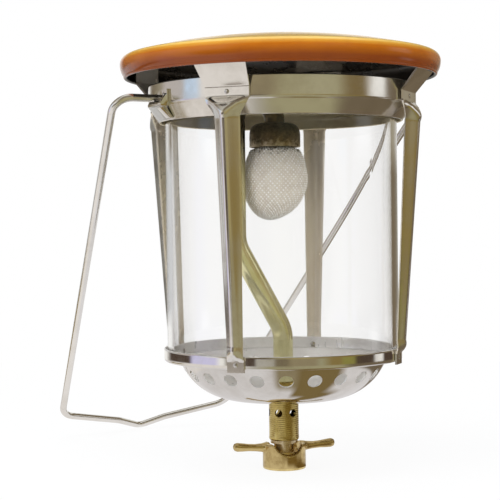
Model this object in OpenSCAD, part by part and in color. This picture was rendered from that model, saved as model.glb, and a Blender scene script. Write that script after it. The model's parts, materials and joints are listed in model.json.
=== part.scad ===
// Small gas lantern: enamelled hat, chimney ring, four pressed struts, glass
// globe, base dish, burner and mantle, wing nut inlet and a long wire bail.
// Millimetres. Z is up, the origin is at the centre of the wing nut's lower
// face, and the bail turns about an axis along X.

/* [Glass globe] */
// Outer diameter of the glass
glass_d = 100; // [84:1:112]
// Wall of the glass
glass_wall = 2.5; // [1.6:0.1:3.4]
// Height of the glass
glass_h = 106; // [85:1:140]

/* [Base dish] */
// Sheet that the dish is pressed from
dish_sheet = 0.8; // [0.5:0.05:1]
// Room between the glass and the dish's rim band
seat_gap = 0.7; // [0.6:0.1:2]
// Height of the rim band around the glass
band_h = 5.5; // [5:0.1:10]
// Width of the ledge that the glass stands on
ledge_w = 6.8; // [5.4:0.1:9]
// Depth of the bowl below that ledge
bowl_depth = 17.1; // [14:0.1:22]
// Radius of the bowl's round wall, seen in section
bowl_round = 26.4; // [23:0.2:30]
// Diameter of an air hole in the bowl
air_hole_d = 6.2; // [4:0.1:7.5]
// Height of the ledge above the middle of the air holes
air_hole_drop = 5.6; // [5:0.1:7]
// Number of air holes in the bowl
air_hole_count = 22; // [12:1:26]
// Turn of the row of air holes
air_hole_turn = 11.4; // [0:0.1:30]

/* [Chimney ring] */
// Sheet that the ring is rolled from
ring_sheet = 0.8; // [0.5:0.05:1.2]
// Room between the glass and the ring's lower edge
ring_gap = 1.5; // [1:0.1:3]
// How far the ring's band stands out beyond its lower edge
ring_flare = 4.7; // [3.6:0.1:7]
// Height of the sloping skirt
skirt_h = 6.0; // [5:0.1:10]
// Height of the upright band
ring_band_h = 9.7; // [9:0.1:14]
// Step between the skirt and the band
ring_step = 0.8; // [0.4:0.1:1.4]
// How far the ring reaches down over the glass
ring_overlap = 4.8; // [3:0.2:5.4]

/* [Hat] */
// Diameter of the hat
hat_d = 138; // [132:1:160]
// Sheet that the hat is pressed from
hat_sheet = 0.8; // [0.6:0.05:1.2]
// Height of the rim below its widest place
rim_h = 5.2; // [4:0.1:7]
// Radius of the rim below its widest place, seen in section
rim_low_r = 8.8; // [8:0.1:14]
// Radius of the rim above its widest place, seen in section
rim_up_r = 3.9; // [3:0.1:6]
// Diameter of the bead rolled along the rim's edge
hem_d = 1.5; // [1.2:0.1:2]
// Slope of the dome where it meets the rim
dome_slope = 13.6; // [8:0.2:22]
// Height of the rim's lower edge above the chimney ring
hat_gap = 4.3; // [2:0.1:9]

/* [Struts] */
// Sheet that the struts are pressed from
strut_sheet = 0.8; // [0.7:0.05:1.2]
// Turn of the four struts from the bail's axis
strut_turn = 37.6; // [32:0.1:58]
// How far the back right strut is riveted aside from an even spacing
strut_aside = 4.9; // [0:0.1:8]
// Width of the plate that lies on the chimney ring
plate_w = 19; // [15:0.2:24]
// Height of the plate above the ring's step
plate_up = 5.4; // [4.6:0.1:7]
// Height of the plate below the ring's step
plate_down = 1.6; // [0.8:0.1:2]
// Width of the tab where it enters the hat
tab_w = 22; // [18:0.2:26]
// Radius of the half-round leg at its shoulder
leg_top_r = 5.65; // [4.4:0.05:7]
// Radius of the half-round leg at its foot
leg_foot_r = 3.4; // [2.4:0.05:3.6]
// Length of the shoulder above the leg
shoulder_l = 8.4; // [6:0.2:14]
// Length of the ramp between the leg and its foot
ramp_l = 6.0; // [4:0.2:9]
// Width of the foot that lies on the dish
foot_w = 7.3; // [6:0.1:9]
// Height of the foot above the dish's ledge
foot_up = 3.4; // [3.2:0.1:4.6]
// How far the foot reaches below the dish's ledge
foot_down = 0.9; // [0.4:0.1:2]

/* [Rivets] */
// Diameter of a rivet's shank
rivet_d = 1.6; // [1.2:0.1:2]
// Diameter of a rivet's head
rivet_head_d = 2.8; // [2.4:0.1:3.2]
// Height of a rivet's head
rivet_head_h = 0.7; // [0.4:0.05:1]
// Height of a rivet's closed end
rivet_tail_h = 0.4; // [0.2:0.05:0.45]

/* [Bail] */
// Diameter of the bail's wire
wire_d = 3.2; // [2.4:0.1:4]
// Swing of the bail from straight down, standing on the table behind
bail_swing = 42.3; // [36:0.1:50]
// Half the width of the grip
grip_half_w = 46.6; // [36:0.5:56]
// Fall of the grip from its corners to the dip
grip_fall = 8.0; // [2:0.5:14]
// Depth of the dip in the middle of the grip
dip_depth = 5.5; // [3:0.2:9]
// Half the width of that dip
dip_half_w = 13.0; // [10:0.5:16]
// Room between the bail's leg and the hat's rim as it passes
bail_room = 0.5; // [0.3:0.1:4]
// Sideways play, which the bail has taken up towards its near lug
bail_shift = 2.5; // [0.5:0.1:3]
// Bend radius of the bail's shoulders, in the middle of the wire
shoulder_bend = 7; // [5:0.5:9]
// Bend radius of the grip's corners
grip_bend = 9; // [5:0.5:14]
// Diameter of the headed ends inside the ring
upset_d = 5.0; // [4.6:0.1:6]
// Thickness of the headed ends
upset_h = 1.2; // [0.8:0.1:1.4]
// Height of the bail's pivot above the ring's step
pivot_up = 2.7; // [2.6:0.1:4]

/* [Bail lugs] */
// Sheet that the lugs are folded from
lug_sheet = 1; // [0.7:0.05:1.4]
// Width of a lug along the ring
lug_w = 12; // [9:0.2:16]
// How far a lug's shelf stands out from the ring
lug_out = 3.5; // [2.6:0.1:5]
// Height of the lug above the pivot
lug_up = 3.6; // [3:0.1:5]
// How far the lug's shelf lies below the ring's step
lug_down = 0.6; // [0.2:0.1:1]
// How far the lug's rivets stand aside from the bail
lug_rivet_y = 3.4; // [3.2:0.1:3.5]
// Width of the strap that runs down over the skirt
strap_w = 5; // [3:0.2:8]

/* [Inlet] */
// Diameter of the wing nut's body
nut_d = 18.7; // [18:0.1:24]
// Height of the wing nut at the roots of its wings
nut_h = 11.0; // [10:0.1:14]
// Diameter of the nut's threaded bore, at the crest of the thread
inlet_d = 14; // [12.6:0.1:15]
// Length of that thread
thread_l = 4.2; // [3.4:0.1:4.3]
// Diameter of the relief above the thread, where the flange turns
relief_d = 14.8; // [14.4:0.1:16]
// Depth of the nut's bore, up to the web that holds the tailpiece
inlet_depth = 6.0; // [5.9:0.1:7]
// Thickness of that web
web_h = 1.6; // [1:0.1:2.2]
// Diameter of the cup above the web
cup_d = 13.8; // [12.4:0.1:15]
// Half the span over the wings
wing_reach = 23; // [18:0.5:32]
// Thickness of a wing near its tip
wing_d = 4.2; // [3:0.1:5]
// Rise of the wings towards their tips, in degrees
wing_rise = 3; // [0:0.5:12]
// Turn of the wings from the bail's axis
wing_turn = -15; // [-90:1:90]
// Radius of the scallops between the wings
scallop_r = 6.5; // [5.6:0.1:7]
// Diameter of the tailpiece's stem
stem_d = 8.8; // [7.6:0.1:9.4]
// Thickness of the tailpiece's flange
flange_h = 0.8; // [0.6:0.1:1.4]
// Height of the tailpiece's collar, between the nut and the sleeve
collar_h = 1.3; // [0.8:0.1:3]
// Diameter of that collar
collar_d = 11.8; // [10.6:0.1:12.4]
// Thickness of the seal below the flange
seal_h = 0.7; // [0.5:0.1:1.4]

/* [Air sleeve] */
// Diameter of the sleeve
sleeve_d = 13.0; // [12:0.1:15]
// Length of the sleeve below the dish
sleeve_drop = 18.1; // [16:0.1:30]
// Length of the sleeve above the dish's floor
sleeve_up = 6.5; // [6:0.1:10]
// Diameter of the mixing chamber in the sleeve
chamber_d = 10.4; // [9.4:0.1:10.8]
// Diameter of an air hole in the sleeve
port_d = 3.4; // [2.4:0.1:4.4]
// Number of air holes in the sleeve, all in opposite pairs
port_count = 6; // [4:2:6]
// Height of the air holes below the dish
port_drop = 6.1; // [4.6:0.1:7.6]
// Turn of the air holes
port_turn = 38; // [0:1:60]
// Diameter of the sleeve's neck through the dish
neck_d = 11.4; // [10.4:0.1:11.6]
// Solid metal between the mixing chamber and the dish
sleeve_head_h = 1.2; // [0.8:0.1:1.6]
// Depth of the tailpiece's spigot in the sleeve
spigot_h = 4.6; // [3:0.1:5]
// Width of the locknut over its flats
locknut_w = 15; // [14:0.1:18]
// Height of the locknut
locknut_h = 4; // [3:0.1:4.6]
// Diameter of the washer under the locknut
washer_d = 19; // [18:0.2:24]
// Thickness of that washer
washer_h = 0.8; // [0.5:0.1:1.2]

/* [Burner] */
// Diameter of the gas tube
tube_d = 8.6; // [7:0.1:9]
// Wall of the gas tube
tube_wall = 0.8; // [0.6:0.05:1.2]
// Height of the tube's first knee above the dish's floor
knee_up = 29.5; // [24:0.5:40]
// Lean of the tube between its knees
tube_lean = 31; // [22:0.5:40]
// How far aside the tube rises past the mantle
tube_aside = 22.6; // [21:0.2:28]
// Bend radius of the tube's knees
knee_bend = 15; // [10:0.5:20]
// Width of the turn at the top of the tube
turn_w = 19.6; // [19:0.2:23]
// How far the bell's top lies below the ring's step
bell_below = 6.1; // [5:0.2:12]
// Diameter of the bell
bell_d = 19.6; // [18.4:0.1:22.6]
// Height of the bell
bell_h = 10.5; // [8:0.1:13]
// Sheet that the bell is pressed from
bell_sheet = 0.8; // [0.6:0.05:1]
// How far the tube reaches into the bell
tube_in = 2.5; // [1.6:0.1:3.5]
// Diameter of the ceramic nozzle
nozzle_d = 12; // [11:0.1:14]
// How far the nozzle reaches below the bell
nozzle_below = 5; // [2:0.1:8]
// Diameter of the mantle
mantle_d = 28.8; // [25:0.2:30]
// Length of the mantle below the bell
mantle_l = 31.0; // [26:0.2:40]
// Height of the mantle's widest place above its lower end
mantle_belly = 16.6; // [13:0.1:20]
// How far the mantle's neck reaches up inside the bell
neck_h = 3.2; // [2.4:0.1:4.5]
// Thickness of the mantle's mesh
mantle_mesh = 0.6; // [0.4:0.05:1]
// Diameter of the thread that ties the mantle
tie_d = 0.9; // [0.6:0.05:1.4]

/* [Hidden] */
$fn = 72;
// Gap between fixed pieces that lie on each other
seat = 0.05;
// Gap round a pin or stem that turns
turn_fit = 0.08;
// Gap between flat faces that slide
slide_gap = 0.1;
// Gap at the ends of the bail and inside the rolled rim
end_gap = 0.4;
// Small round or step at pressed and turned corners
corner = 0.8;
// Radius of the jet's bore
jet_bore_r = 0.4;
// Height and length of the marks at the ends of a bend
mark_h = 0.02;
mark_l = 0.4;
// Overlap of a strut's strip with its half-round leg
press_lap = 0.3;
// Steps of a short arc, of a long one and of a pressed slope
short_arc = 4;
long_arc = 12;
press_steps = 6;

rivet_tail_d = 1.5 * rivet_d;

// Heights, from the wing nut up
sleeve_z = nut_h + slide_gap + collar_h;
dish_z = sleeve_z + sleeve_drop;
dish_floor_z = dish_z + dish_sheet;
ledge_z = dish_z + bowl_depth;
glass_z = ledge_z + dish_sheet;
glass_top_z = glass_z + glass_h;
ring_z = glass_top_z - ring_overlap;
step_z = ring_z + skirt_h;
ring_top_z = step_z + ring_band_h;
pivot_z = step_z + pivot_up;
rim_z = ring_top_z + hat_gap + rim_h;
crease_z = step_z + plate_up;
plate_z = step_z - plate_down;
foot_z = ledge_z - foot_down;
ramp_z = ledge_z + foot_up;
plate_rivet_z = (step_z + ring_step + crease_z) / 2;
foot_rivet_z = glass_z + rivet_tail_d / 2 + slide_gap;
bell_z = step_z - bell_below;
bell_low_z = bell_z - bell_h;
flange_z = inlet_depth - slide_gap - flange_h;

// Radii, from the glass out
glass_r = glass_d / 2;
dish_r = glass_r + seat_gap + dish_sheet;
bowl_turn = acos(1 - bowl_depth / bowl_round);
bowl_floor_r = dish_r - ledge_w - bowl_round * sin(bowl_turn);
skirt_r = glass_r + ring_gap + ring_sheet;
ring_r = skirt_r + ring_flare;
plate_r = ring_r + seat;
foot_r = dish_r + seat;
hat_r = hat_d / 2;
wire_r = wire_d / 2;
sleeve_r = sleeve_d / 2;
stem_r = stem_d / 2;
spigot_r = stem_r - corner / 2;
neck_r = neck_d / 2;
tube_r = tube_d / 2;
bell_r = bell_d / 2;
mantle_r = mantle_d / 2;
mantle_x = turn_w - tube_aside;

// Turns of the struts: back right, back left, front left and front right
strut_turns = [strut_turn + strut_aside, strut_turn + 90, strut_turn + 180, strut_turn + 270];

// Tab of a strut: its end stands inside the rolled rim and carries the hat
hem_r = hat_r - rim_low_r + sqrt(pow(rim_low_r - hat_sheet / 2, 2) - pow(rim_h, 2));
tab_corner_r = hem_r - hem_d / 2 - end_gap / 2;
tab_r = sqrt(pow(tab_corner_r, 2) - pow(tab_w / 2, 2)) - strut_sheet;
tab_z = rim_z - rim_h;
tab_top_z = rim_z - slide_gap
    + sqrt(pow(rim_up_r - hat_sheet, 2) - pow(tab_corner_r - hat_r + rim_up_r, 2));

// Bail: its grip stands on the table, and its legs pass outside the hat
bail_reach = (pivot_z - wire_r) / cos(bail_swing);
bail_drop = bail_reach - grip_fall - dip_depth;
hat_pass_w = hat_r + wire_r + bail_room + bail_shift;
bail_half_w = grip_half_w + (hat_pass_w - grip_half_w) / (1 - (rim_z - pivot_z) / bail_drop);
bail_end = ring_r - ring_sheet - ring_step - bail_shift - end_gap;

// Geometry of flat paths

function unit(v) = v / norm(v);
function normal(v) = [-v.y, v.x];
function ease(u) = (1 - cos(180 * u)) / 2;
function arc(c, r, from, to, steps) =
    [for (i = [0:steps]) let (a = from + (to - from) * i / steps) c + r * [cos(a), sin(a)]];

// Signed turn of a path at point i, and how much a round there trims its lines
function turn_at(p, i) =
    let (a = p[i] - p[i - 1], b = p[i + 1] - p[i]) atan2(a.x * b.y - a.y * b.x, a * b);
function trim_at(p, r, i) = r[i] == 0 ? 0 : r[i] * abs(tan(turn_at(p, i) / 2));
function bend_centre(p, r, i) =
    let (d = unit(p[i] - p[i - 1]))
    p[i] - d * trim_at(p, r, i) + sign(turn_at(p, i)) * r[i] * normal(d);
function bend_angle(p, r, i) =
    let (d = p[i] - p[i - 1]) atan2(d.y, d.x) - 90 * sign(turn_at(p, i));

// A symmetrical outline from the points of its right half
function both_halves(p) = concat(p, [for (i = [len(p) - 1:-1:0]) [-p[i].x, p[i].y]]);

// A path with its inner corners rounded
function rounded(p, r) = [
    for (i = [0:len(p) - 1])
        each (r[i] == 0 ? [p[i]]
            : arc(bend_centre(p, r, i), r[i], bend_angle(p, r, i),
                  bend_angle(p, r, i) + turn_at(p, i), short_arc))
];

// The outline of a sheet of thickness t on the left of a path
function side_step(p, i) =
    let (a = unit(i > 0 ? p[i] - p[i - 1] : p[1] - p[0]),
         b = unit(i < len(p) - 1 ? p[i + 1] - p[i] : p[i] - p[i - 1]))
    (normal(a) + normal(b)) / (1 + a * b);
function sheet(p, t) =
    concat(p, [for (i = [len(p) - 1:-1:0]) p[i] + t * side_step(p, i)]);

// A round wire along a path in the XY plane, with a bend at each inner point.
// Each length starts in the frame of the one before, from the point given by i
module wire(p, bends, r, i = 0) {
    l = norm(p[i + 1] - p[i]) - trim_at(p, bends, i) - trim_at(p, bends, i + 1);
    rotate([0, 90, 0])
        cylinder(r = r, h = l);
    if (i < len(p) - 2) {
        sweep = turn_at(p, i + 1);
        side = sign(sweep);
        bend = bends[i + 1];
        translate([l, side * bend, 0]) {
            rotate(sweep > 0 ? -90 : 90 + sweep)
                rotate_extrude(angle = abs(sweep))
                    translate([bend, 0])
                        circle(r);
            rotate(sweep)
                translate([0, -side * bend, 0]) {
                    bend_mark(r);
                    wire(p, bends, r, i + 1);
                }
        }
        translate([l, 0, 0])
            bend_mark(r);
    }
}

// The faint ridge that a bending tool leaves where a bend begins or ends
module bend_mark(r) {
    rotate([0, 90, 0])
        cylinder(r = r + mark_h, h = mark_l, center = true);
}

// A flat plate of thickness t that stands across X, drawn by its Y and Z
module upright(points, t) {
    rotate([90, 0, 90])
        linear_extrude(t)
            polygon(points);
}

// A drill along X from the axis outwards, at height z
module radial_drill(z, d) {
    translate([0, 0, z])
        rotate([0, 90, 0])
            cylinder(d = d, h = hat_d);
}

// A rivet along X that holds the sheets between two faces
module rivet(inner, outer, z) {
    translate([inner, 0, z])
        rotate([0, 90, 0]) {
            cylinder(d = rivet_d, h = outer - inner);
            translate([0, 0, -rivet_tail_h])
                cylinder(d1 = rivet_tail_d * 0.8, d2 = rivet_tail_d, h = rivet_tail_h);
            translate([0, 0, outer - inner])
                rotate_extrude()
                    polygon([
                        [0, 0],
                        [rivet_head_d / 2, 0],
                        [rivet_head_d * 0.4, rivet_head_h * 0.7],
                        [rivet_head_d * 0.2, rivet_head_h],
                        [0, rivet_head_h]
                    ]);
        }
}

// Hat: a shallow dome with a rounded rim and a bead along its edge, in one sheet
module hat() {
    dome_end = 90 - dome_slope;
    dome_r = (hat_r - rim_up_r + rim_up_r * cos(dome_end)) / sin(dome_slope);
    dome_mid_z = rim_z + rim_up_r * sin(dome_end) - dome_r * cos(dome_slope);
    dome_step = dome_slope / long_arc;
    faces = [for (t = [0, hat_sheet]) concat(
        arc([hat_r - rim_low_r, rim_z], rim_low_r - t, -asin(rim_h / rim_low_r), 0, short_arc),
        arc([hat_r - rim_up_r, rim_z], rim_up_r - t, dome_end / long_arc, dome_end, long_arc - 1),
        arc([0, dome_mid_z], dome_r - t, dome_end + dome_step, 90, long_arc - 1))];
    color("darkorange")
        rotate_extrude() {
            polygon(concat(faces[0], [for (i = [len(faces[1]) - 1:-1:0]) faces[1][i]]));
            translate([hem_r, rim_z - rim_h])
                circle(d = hem_d);
        }
}

// Chimney ring: an upright band over a skirt that narrows to the glass
module chimney_ring() {
    path = [
        [skirt_r, ring_z],
        [ring_r - ring_step, step_z],
        [ring_r, step_z + ring_step],
        [ring_r, ring_top_z]
    ];
    color("silver")
        difference() {
            rotate_extrude()
                polygon(sheet(path, ring_sheet));
            for (turn = strut_turns)
                rotate(turn)
                    radial_drill(plate_rivet_z, rivet_d + 2 * seat);
            for (turn = [0, 180])
                rotate(turn) {
                    radial_drill(pivot_z, wire_d + 2 * turn_fit);
                    for (side = [-1, 1])
                        rotate(side * asin(lug_rivet_y / (ring_r + seat)))
                            radial_drill(pivot_z + lug_up / 3, rivet_d + 2 * seat);
                }
        }
}

// Strut: one pressed strip with a tab for the hat, a flat plate on the ring,
// a half-round leg that is hollow at the back, and a foot on the dish
module strut(turn) {
    run = [plate_r - foot_r, plate_z - ramp_z];
    leg_l = norm(run);
    share = [for (i = [0:press_steps]) i / press_steps];

    // The strip's inner face, seen from the side
    side = rounded([
        [foot_r, foot_z],
        [foot_r, ramp_z],
        [plate_r, plate_z],
        [plate_r, crease_z],
        [tab_r, tab_z],
        [tab_r, tab_top_z]
    ], [0, ramp_l, ramp_l, 2.5 * strut_sheet, 1.5 * strut_sheet, 0]);

    // Half of the strip's front above the leg, and half of it below
    neck_w = leg_top_r - press_lap;
    head = concat(
        [for (u = share)
            [neck_w + (plate_w / 2 - neck_w) * ease(u), plate_z - shoulder_l * (1 - u)]],
        [[plate_w / 2, crease_z], [tab_w / 2, tab_z], [tab_w / 2, tab_top_z]]);
    heel_w = leg_foot_r - press_lap;
    foot = concat(
        [[foot_w / 2, foot_z]],
        [for (u = share)
            [foot_w / 2 + (heel_w - foot_w / 2) * ease(u), ramp_z + ramp_l * u]]);

    // The half-round leg and the hollow in it, by radius and length along the leg
    end_r = strut_sheet / 2;
    leg = concat(
        [for (u = share) [end_r + (leg_foot_r - end_r) * ease(u), ramp_l * u]],
        [for (u = share)
            [end_r + (leg_top_r - end_r) * ease(1 - u), leg_l - shoulder_l * (1 - u)]]);
    hollow = concat(
        [for (u = share) [(leg_foot_r - strut_sheet) * ease(u), ramp_l * u + strut_sheet]],
        [for (u = share)
            [(leg_top_r - strut_sheet) * ease(1 - u),
             leg_l - shoulder_l * (1 - u) - strut_sheet]]);

    color("gainsboro")
        rotate(turn)
            difference() {
                union() {
                    intersection() {
                        translate([0, tab_w, 0])
                            rotate([90, 0, 0])
                                linear_extrude(2 * tab_w)
                                    polygon(sheet(side, -strut_sheet));
                        union() {
                            upright(both_halves(head), hat_r);
                            upright(both_halves(foot), hat_r);
                        }
                    }
                    along_leg(run)
                        rotate(-90)
                            rotate_extrude(angle = 180)
                                polygon(concat([[0, 0]], leg, [[0, leg_l]]));
                }
                along_leg(run)
                    rotate_extrude()
                        polygon(hollow);
                radial_drill(plate_rivet_z, rivet_d + 2 * seat);
                radial_drill(foot_rivet_z, rivet_d + 2 * seat);
            }
}

// The frame of a strut's leg, whose Z runs up the leg
module along_leg(run) {
    translate([foot_r, 0, ramp_z])
        rotate([0, atan2(run.x, run.y), 0])
            translate([press_lap / 2, 0, 0])
                children();
}

// Rivets that hold the struts' plates to the ring
module plate_rivets() {
    color("lightgray")
        for (turn = strut_turns)
            rotate(turn)
                rivet(ring_r - ring_sheet - seat, plate_r + strut_sheet, plate_rivet_z);
}

// Rivets that hold the struts' feet to the dish
module foot_rivets() {
    color("lightgray")
        for (turn = strut_turns)
            rotate(turn)
                rivet(dish_r - dish_sheet - seat, foot_r + strut_sheet, foot_rivet_z);
}

// Glass globe: a plain straight tube with fire-polished ends
module globe_glass() {
    edge = glass_wall * 0.3;
    outer = glass_r - edge;
    inner = glass_r - glass_wall + edge;
    color("aliceblue", 0.35)
        rotate_extrude()
            polygon(concat(
                arc([outer, glass_top_z - edge], edge, 0, 90, short_arc),
                arc([inner, glass_top_z - edge], edge, 90, 180, short_arc),
                arc([inner, glass_z + edge], edge, 180, 270, short_arc),
                arc([outer, glass_z + edge], edge, 270, 360, short_arc)));
}

// Base dish: a drilled bowl, a ledge for the glass and a rim band, in one sheet
module base_dish() {
    bowl_mid_z = dish_z + bowl_round;
    hole_turn = acos((bowl_depth - bowl_round - air_hole_drop) / -bowl_round);
    bowl = arc([bowl_floor_r, bowl_mid_z], bowl_round, -90, bowl_turn - 90, long_arc);
    rim = rounded([
        bowl[long_arc],
        [dish_r, ledge_z],
        [dish_r, ledge_z + band_h]
    ], [0, corner, 0]);
    color("silver")
        difference() {
            rotate_extrude()
                polygon(sheet(concat([[neck_r + seat, dish_z]], bowl,
                                     [for (i = [1:len(rim) - 1]) rim[i]]), dish_sheet));
            for (i = [0:air_hole_count - 1])
                rotate(air_hole_turn + i * 360 / air_hole_count)
                    translate([bowl_floor_r, 0, bowl_mid_z])
                        rotate([0, 180 - hole_turn, 0])
                            cylinder(d = air_hole_d, h = 2 * bowl_round);
            for (turn = strut_turns)
                rotate(turn)
                    radial_drill(foot_rivet_z, rivet_d + 2 * seat);
        }
}

// Bail: one length of wire with headed ends, a vee grip and a hanging dip
module bail() {
    half = [
        [bail_end - upset_h, 0],
        [bail_half_w, 0],
        [grip_half_w, -bail_drop],
        [dip_half_w, -bail_drop - grip_fall]
    ];
    bends = [0, shoulder_bend, grip_bend, grip_bend];
    path = concat(half, [[0, -bail_reach]], [for (i = [3:-1:0]) [-half[i].x, half[i].y]]);
    color("silver")
        translate([-bail_shift, 0, pivot_z])
            rotate([90 + bail_swing, 0, 0]) {
                translate([bail_end - upset_h, 0, 0])
                    wire(path, concat(bends, [2 * wire_d], [for (i = [3:-1:0]) bends[i]]), wire_r);
                for (side = [-1, 1])
                    translate([side * (bail_end - upset_h / 2), 0, 0])
                        rotate([0, 90, 0])
                            cylinder(d = upset_d, h = upset_h, center = true);
            }
}

// Bail lug: a folded bracket on the ring, pierced for the bail's end
module bail_lug(turn) {
    inner = ring_r + seat;
    outer = inner + lug_sheet;
    shelf_r = inner + lug_out;
    low_z = step_z - lug_down;
    half_angle = asin(lug_w / 2 / inner);
    cheek = [
        [inner, low_z],
        [shelf_r, low_z],
        [shelf_r, low_z + lug_sheet],
        [outer, pivot_z + lug_up / 2],
        [inner, pivot_z + lug_up / 2]
    ];
    slope = unit([ring_r - ring_step - skirt_r, skirt_h]);
    strap_low = [skirt_r + seat, ring_z] + slope;
    strap = [
        strap_low,
        [inner, step_z],
        [inner, step_z + lug_sheet],
        [outer, step_z + lug_sheet],
        [outer, step_z - lug_sheet],
        strap_low + [lug_sheet, 0]
    ];
    color("silver")
        rotate(turn)
            difference() {
                union() {
                    translate([0, 0, low_z])
                        rotate(-half_angle)
                            rotate_extrude(angle = 2 * half_angle)
                                translate([inner, 0])
                                    square([lug_sheet, pivot_z + lug_up - low_z]);
                    for (side = [-1, 1])
                        translate([0, side * (lug_w - lug_sheet) / 2 + lug_sheet / 2, 0])
                            rotate([90, 0, 0])
                                linear_extrude(lug_sheet)
                                    polygon(cheek);
                    translate([inner, -lug_w / 2, low_z])
                        cube([lug_out, lug_w, lug_sheet]);
                    translate([0, strap_w / 2, 0])
                        rotate([90, 0, 0])
                            linear_extrude(strap_w)
                                polygon(strap);
                }
                radial_drill(pivot_z, wire_d + 2 * turn_fit);
                for (side = [-1, 1])
                    rotate(side * asin(lug_rivet_y / inner))
                        radial_drill(pivot_z + lug_up / 3, rivet_d + 2 * seat);
                translate([0, 0, step_z])
                    cylinder(r = inner, h = ring_band_h);
            }
}

// Rivets that hold the bail lugs to the ring
module lug_rivets() {
    inner = ring_r + seat;
    color("lightgray")
        for (turn = [0, 180], side = [-1, 1])
            rotate(turn + side * asin(lug_rivet_y / inner))
                rivet(ring_r - ring_sheet - seat, inner + lug_sheet, pivot_z + lug_up / 3);
}

// Gas tube: rises from the dish, leans aside, passes the mantle and turns down
module gas_tube() {
    bend = (turn_w - corner) / 2;
    top_z = bell_z + bend + corner / 2;
    knee_z = dish_z + knee_up;
    path = [
        [0, dish_floor_z],
        [0, knee_z],
        [-tube_aside, knee_z + tube_aside / tan(tube_lean)],
        [-tube_aside, top_z],
        [mantle_x, top_z],
        [mantle_x, bell_z - tube_in]
    ];
    bends = [0, knee_bend, knee_bend, bend, bend, 0];
    color("darkkhaki")
        translate([0, 0, dish_floor_z])
            rotate([90, -90, 0])
                difference() {
                    wire(path, bends, tube_r);
                    wire(path, bends, tube_r - tube_wall);
                }
}

// Burner bell: a dark pressed cup on the end of the gas tube
module burner_bell() {
    path = rounded([
        [tube_r + seat, bell_z - bell_sheet],
        [bell_r - bell_sheet, bell_z - bell_sheet],
        [bell_r - bell_sheet, bell_low_z]
    ], [0, bell_h * 0.3, 0]);
    color("dimgray")
        translate([mantle_x, 0, 0])
            rotate_extrude()
                polygon(sheet(path, bell_sheet));
}

// Burner nozzle: a ceramic tube that the gas tube's end stands in
module burner_nozzle() {
    top_z = bell_z - bell_sheet - seat;
    stop_z = bell_z - tube_in;
    low_z = bell_low_z - nozzle_below;
    color("linen")
        translate([mantle_x, 0, 0])
            rotate_extrude()
                polygon([
                    [tube_r + seat, top_z],
                    [tube_r + seat, stop_z],
                    [tube_r - tube_wall, stop_z],
                    [tube_r - tube_wall, low_z],
                    [nozzle_d / 2 - corner, low_z],
                    [nozzle_d / 2, low_z + corner],
                    [nozzle_d / 2, top_z]
                ]);
}

// Mantle: a mesh bag tied on the nozzle, with its shoulder close under the bell
module mantle() {
    low_z = bell_low_z - mantle_l;
    belly_z = low_z + mantle_belly;
    shoulder_z = bell_low_z - 2 * mantle_mesh;
    upper = shoulder_z - belly_z;
    upper_axis = upper / sqrt(1 - pow(bell_r / mantle_r, 2));
    collar_r = nozzle_d / 2 + seat + mantle_mesh;
    path = concat(
        [for (i = [1:long_arc])
            let (a = 90 * i / long_arc)
            [mantle_r * sin(a), belly_z - mantle_belly * cos(a)]],
        [for (i = [1:short_arc])
            let (h = upper * i / short_arc)
            [mantle_r * sqrt(1 - pow(h / upper_axis, 2)), belly_z + h]],
        [[collar_r, bell_low_z], [collar_r, bell_low_z + neck_h]]);
    color("whitesmoke")
        translate([mantle_x, 0, 0])
            rotate_extrude()
                polygon(concat(
                    [[0, path[0].y]],
                    sheet(path, mantle_mesh),
                    [[0, path[0].y + mantle_mesh]]));
}

// Thread that ties the mantle's neck
module mantle_tie() {
    color("ivory")
        translate([mantle_x, 0, bell_low_z + neck_h / 2])
            rotate_extrude()
                translate([nozzle_d / 2 + 2 * seat + mantle_mesh + tie_d / 2, 0])
                    circle(d = tie_d);
}

// Air sleeve: a drilled brass tube that hangs the inlet under the dish
module air_sleeve() {
    top_z = dish_floor_z + sleeve_up;
    chamber_top_z = dish_z - sleeve_head_h;
    color("goldenrod")
        difference() {
            rotate_extrude()
                polygon([
                    [spigot_r + seat, sleeve_z],
                    [sleeve_r - corner, sleeve_z],
                    [sleeve_r, sleeve_z + corner],
                    [sleeve_r, dish_z],
                    [neck_r, dish_z],
                    [neck_r, top_z],
                    [tube_r + seat, top_z],
                    [tube_r + seat, dish_floor_z],
                    [tube_r - tube_wall, dish_floor_z],
                    [tube_r - tube_wall, chamber_top_z],
                    [chamber_d / 2, chamber_top_z - (chamber_d / 2 - tube_r + tube_wall)],
                    [chamber_d / 2, sleeve_z + spigot_h],
                    [spigot_r + seat, sleeve_z + spigot_h]
                ]);
            for (i = [0:port_count / 2 - 1])
                rotate(port_turn + i * 360 / port_count)
                    translate([0, 0, dish_z - port_drop])
                        rotate([0, 90, 0])
                            cylinder(d = port_d, h = 2 * sleeve_d, center = true);
        }
}

// Hexagon locknut inside the dish
module sleeve_locknut() {
    low_z = dish_floor_z + washer_h;
    color("goldenrod")
        translate([0, 0, low_z])
            difference() {
                cylinder(d = locknut_w / cos(30), h = locknut_h, $fn = 6);
                translate([0, 0, -1])
                    cylinder(r = neck_r + seat, h = locknut_h + 2);
            }
}

// Plain washer under the locknut
module sleeve_washer() {
    color("silver")
        translate([0, 0, dish_floor_z])
            difference() {
                cylinder(d = washer_d, h = washer_h);
                translate([0, 0, -1])
                    cylinder(r = neck_r + seat, h = washer_h + 2);
            }
}

// Injector jet on the tailpiece, below the air holes
module injector_jet() {
    jet_r = spigot_r * 0.7;
    low_z = sleeve_z + spigot_h;
    shank_h = spigot_r * 0.4;
    color("gold")
        translate([0, 0, low_z])
            rotate_extrude()
                polygon([
                    [jet_bore_r, 0],
                    [jet_r, 0],
                    [jet_r, shank_h],
                    [jet_r * 0.7, shank_h],
                    [jet_r * 0.4, shank_h * 2.2],
                    [jet_bore_r, shank_h * 2.2]
                ]);
}

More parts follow.
